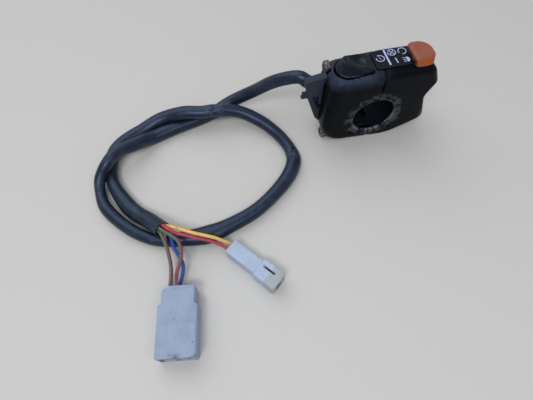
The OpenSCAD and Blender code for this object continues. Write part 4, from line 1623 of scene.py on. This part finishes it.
@dataclass
class Loom:
    """The vinyl sleeve, the loose wires at its cut end and the wires inside the housing.

    The sleeve's form gives, for each point of its route, the share of its width and how far it
    leans to the side.
    """

    sleeve_d: float = 0.0066
    wire_d: float = 0.0018
    wire_skin: float = 0.00165
    inner_d: float = 0.0016
    steps: int = 6
    sleeve_sides: int = 28
    wire_sides: int = 14
    tallest: float = 1.02
    settle: float = 0.0024
    mouth_wall: float = 0.0005
    mouth_depth: float = 0.012
    mouth_sharp: float = 50.0
    lead_in: float = 0.009
    exit_at: Point = (-0.027, 0.0048, 0.0152)
    sleeve_route: Route = (
        (-0.0245, 0.0048, 0.0152), (-0.03, 0.0048, 0.0152), (-0.0335, 0.006, 0.0164),
        (-0.037, 0.0082, 0.0176), (-0.0425, 0.0116, 0.015), (-0.0495, 0.0164, 0.0092),
        (-0.058, 0.0215, -0.001), (-0.069, 0.025, -0.009), (-0.08, 0.0235, -0.013),
        (-0.09, 0.0195, -0.014), (-0.103, 0.016, -0.014), (-0.117, 0.0115, -0.013),
        (-0.127, 0.0065, -0.0095), (-0.135, 0.001, -0.0066), (-0.141, -0.004, -0.0072),
        (-0.1458, -0.01, -0.0116), (-0.1466, -0.017, -0.014), (-0.1442, -0.0274, -0.014),
        (-0.1355, -0.0392, -0.014), (-0.1256, -0.0466, -0.014), (-0.117, -0.0501, -0.014),
        (-0.106, -0.0514, -0.014), (-0.096, -0.0522, -0.014), (-0.085, -0.0495, -0.014),
        (-0.0695, -0.043, -0.014), (-0.0535, -0.0305, -0.014), (-0.0455, -0.02, -0.014),
        (-0.045, -0.0115, -0.014), (-0.05, -0.0014, -0.013), (-0.059, 0.0082, -0.011),
        (-0.069, 0.0148, -0.0085), (-0.08, 0.017, -0.0068), (-0.089, 0.018, -0.0066),
        (-0.099, 0.0208, -0.0074), (-0.112, 0.0216, -0.0115), (-0.128, 0.0152, -0.014),
        (-0.137, 0.008, -0.014), (-0.1399, -0.0015, -0.014), (-0.1393, -0.013, -0.014),
        (-0.132, -0.0285, -0.014), (-0.122, -0.0395, -0.0115), (-0.1163, -0.0473, -0.0075),
    )
    sleeve_form: Sequence[tuple[float, float]] = (
        (1.06, 0.0), (1.06, 0.0), (1.02, 0.0), (1.0, 0.0002), (1.06, 0.0), (1.11, -0.0005),
        (1.11, 0.0006), (1.1, 0.0002), (1.08, 0.0), (1.18, 0.0011), (1.28, 0.0016),
        (1.22, 0.0013), (1.06, -0.0003), (0.96, 0.0003), (0.92, -0.0005), (0.88, 0.0001),
        (0.84, 0.0003), (0.96, -0.0004), (0.96, -0.0006), (0.9, 0.0), (0.95, 0.0002),
        (1.2, 0.0001), (1.42, -0.0005), (1.2, -0.0002), (1.1, 0.0003), (1.14, 0.0007),
        (1.18, 0.0002), (1.0, 0.0001), (0.98, 0.001), (1.08, 0.0015), (1.05, 0.0013),
        (1.1, 0.0008), (1.1, 0.0002), (1.18, -0.0001), (1.22, 0.0008), (1.16, 0.0013),
        (1.1, 0.0012), (1.0, 0.0009), (1.0, 0.0007), (1.26, 0.0006), (1.24, 0.0006),
        (1.2, 0.0003),
    )
    squeezes: Sequence[Squeeze] = (
        Squeeze(at=26.6, spread=0.005, wide=1.06, high=0.78, worn=1.0),
        Squeeze(at=41.0, spread=0.014, worn=0.35),
        Squeeze(at=15.5, spread=0.003, wide=0.96, worn=0.5),
        Squeeze(at=30.9, spread=0.0022, wide=0.92, high=1.06, worn=0.7),
        Squeeze(at=31.5, spread=0.0022, wide=1.08, high=0.92, worn=1.0),
    )
    ripples: Sequence[Ripple] = (
        Ripple(share=0.014, reach=0.0043),
        Ripple(share=0.012, reach=0.0111, start=1.0),
    )
    small_wires: Sequence[Wire] = (
        Wire("yellow", YELLOW_WIRE, (
            (-0.1143, -0.0461, -0.0071), (-0.1134, -0.0468, -0.0066), (-0.1082, -0.0498, -0.006),
            (-0.1024, -0.0529, -0.0064), (-0.0973, -0.0551, -0.007), (-0.093, -0.0567, -0.0084),
            (-0.0896, -0.0581, -0.0106), (-0.0855, -0.0601, -0.0133), (-0.0823, -0.064, -0.0133),
        )),
        Wire("red", RED_WIRE, (
            (-0.1158, -0.0462, -0.0057), (-0.1149, -0.0473, -0.0052), (-0.1132, -0.0492, -0.0052),
            (-0.1104, -0.0509, -0.0069), (-0.1064, -0.0526, -0.0076), (-0.1016, -0.0548, -0.0084),
            (-0.097, -0.0565, -0.0094), (-0.0922, -0.0586, -0.0114), (-0.0877, -0.0619, -0.0133),
            (-0.0845, -0.0658, -0.0133),
        )),
    )
    large_wires: Sequence[Wire] = (
        Wire("green_a", GREEN_WIRE_A, (
            (-0.118, -0.0486, -0.0072), (-0.1173, -0.0498, -0.0067), (-0.1156, -0.0555, -0.0067),
            (-0.1147, -0.0619, -0.0074), (-0.1146, -0.0669, -0.0082), (-0.1155, -0.0715, -0.0096),
            (-0.1163, -0.0749, -0.0101), (-0.1172, -0.0808, -0.0101),
        )),
        Wire("green_b", GREEN_WIRE_B, (
            (-0.1174, -0.0474, -0.0057), (-0.1166, -0.0486, -0.0051), (-0.1136, -0.0516, -0.0048),
            (-0.11, -0.0555, -0.0048), (-0.1088, -0.0592, -0.005), (-0.109, -0.0628, -0.0056),
            (-0.1102, -0.066, -0.0066), (-0.1122, -0.0694, -0.008), (-0.1132, -0.0724, -0.0098),
            (-0.1132, -0.0754, -0.0101), (-0.1141, -0.0813, -0.0101),
        )),
        Wire("blue", BLUE_WIRE, (
            (-0.115, -0.0473, -0.0089), (-0.1142, -0.0485, -0.0083), (-0.1132, -0.052, -0.0082),
            (-0.1125, -0.057, -0.0086), (-0.111, -0.0607, -0.0094), (-0.1096, -0.0648, -0.011),
            (-0.1102, -0.0684, -0.0126), (-0.1118, -0.072, -0.014), (-0.1132, -0.0754, -0.0143),
            (-0.1141, -0.0813, -0.0143),
        )),
        Wire("white", WHITE_WIRE, (
            (-0.1167, -0.0487, -0.0089), (-0.1163, -0.0498, -0.0087), (-0.116, -0.0546, -0.0089),
            (-0.1151, -0.061, -0.0097), (-0.115, -0.066, -0.011), (-0.1158, -0.0708, -0.0132),
            (-0.1163, -0.0749, -0.0143), (-0.1172, -0.0808, -0.0143),
        )),
    )
    inner_wires: Sequence[Wire] = (
        Wire("yellow", YELLOW_WIRE, (
            (-0.0074, 0.00205, 0.012), (-0.0074, 0.00305, 0.012), (-0.009, 0.005, 0.012),
            (-0.013, 0.0064, 0.0118), (-0.019, 0.0059, 0.0122), (-0.02295, 0.006, 0.014),
            (-0.02445, 0.006, 0.014),
        )),
        Wire("red", RED_WIRE, (
            (-0.0198, 0.00205, 0.011), (-0.0198, 0.00285, 0.011), (-0.0208, 0.00345, 0.012),
            (-0.02295, 0.0036, 0.014), (-0.02445, 0.0036, 0.014),
        )),
        Wire("blue", BLUE_WIRE, (
            (0.0157, 0.00205, 0.0146), (0.0157, 0.00305, 0.0146), (0.014, 0.0054, 0.0153),
            (0.009, 0.0067, 0.0161), (-0.01, 0.0067, 0.0161), (-0.019, 0.0063, 0.0164),
            (-0.02295, 0.006, 0.0164), (-0.02445, 0.006, 0.0164),
        )),
        Wire("green", GREEN_WIRE_A, (
            (0.0219, 0.00205, 0.0146), (0.0219, 0.00305, 0.0146), (0.0205, 0.005, 0.0145),
            (0.016, 0.0066, 0.0141), (-0.01, 0.0066, 0.0141), (-0.0202, 0.0051, 0.0146),
            (-0.02295, 0.0036, 0.0164), (-0.02445, 0.0036, 0.0164),
        )),
    )

    def build(self, connectors: Connectors) -> None:
        """Make the sleeve, the wires and the inner wires.

        Args:
            connectors: The pieces at the wires' far ends.
        """
        self.sleeve()
        for wires, plug in ((self.small_wires, connectors.small),
                            (self.large_wires, connectors.large)):
            for wire in wires:
                self.loose_wire(wire)
        for wire in self.inner_wires:
            self.inner_wire(wire)

    def sleeve_section(self, path: Sequence[Vector]) -> Callable[[int], Section]:
        """Section of the sleeve with its flattened and swollen places.

        Args:
            path: The sleeve's centre line.

        Returns:
            The section by the number of the ring.
        """
        ways = ways_along(path)
        places = [(ways[round(s.at * self.steps)], s) for s in self.squeezes]
        forms = smooth_path([(wide, shift, 0.0) for wide, shift in self.sleeve_form], self.steps)
        radius = self.sleeve_d / 2

        def section(ring: int) -> Section:
            """Section at one ring.

            Args:
                ring: Number of the ring from the housing.

            Returns:
                Its section, let down on the floor where it lies close above it.
            """
            way = ways[ring]
            wide, shift, _ = forms[ring]
            high = min(wide, self.tallest)
            wide += sum(r.share * math.sin(way / r.reach + r.start) for r in self.ripples)
            worn = 0.0
            for place, squeeze in places:
                near = math.exp(-((way - place) / squeeze.spread) ** 2)
                wide *= 1.0 + (squeeze.wide - 1.0) * near
                high *= 1.0 + (squeeze.high - 1.0) * near
                worn = max(worn, squeeze.worn * near)
            gap = path[ring].z - radius * high - CAD_BOX[0].z
            drop = min(gap, max(0.0, self.settle - gap) / 2)
            return Section(radius * wide, radius * high, worn, shift, drop)

        return section

    def sleeve(self) -> None:
        """The sleeve from the housing to its open cut end."""
        path = smooth_path(self.sleeve_route, self.steps)
        tube = Tube(path, self.sleeve_section(path), self.sleeve_sides)
        mesh = tube.run(self.mouth_wall, self.mouth_depth)
        piece = new_piece("loom_tube", mesh, self.mouth_sharp)
        seat(piece, Body.HOUSING, SLEEVE_VINYL, "loom_sleeve")

    def loose_wire(self, wire: Wire) -> None:
        """One loose wire from inside the sleeve to its connector.

        Args:
            wire: The wire, with its route from the sleeve's mouth.
        """
        inside, mouth = (Vector(p) for p in self.sleeve_route[-2:])
        back = (inside - mouth).normalized() * self.lead_in
        path = smooth_path([tuple(Vector(wire.route[0]) + back), *wire.route], self.steps)
        piece = round_tube(f"{wire.name}_lead", path, self.wire_skin, self.wire_sides)
        seat(piece, Body.HOUSING, wire.finish, f"wire_{wire.name}")

    def inner_wire(self, wire: Wire) -> None:
        """One wire inside the housing, from a contact to the loom.

        Args:
            wire: The wire.
        """
        path = smooth_path(wire.route, self.steps)
        piece = round_tube(f"inner_{wire.name}_lead", path, self.inner_d, self.wire_sides)
        seat(piece, Body.HOUSING, wire.finish,
             f"inner_wire_{wire.name}")


def main() -> None:
    """Build every sub-assembly in order."""
    logging.basicConfig(level=logging.INFO, format="%(name)s: %(message)s")
    Studio().build()
    connectors = Connectors()
    connectors.build()
    Loom().build(connectors)
    for assembly in (Housing(), CableCover(), LegendPlate(), StarterSwitch(), KillSwitch()):
        assembly.build()


if __name__ == "__main__":
    main()
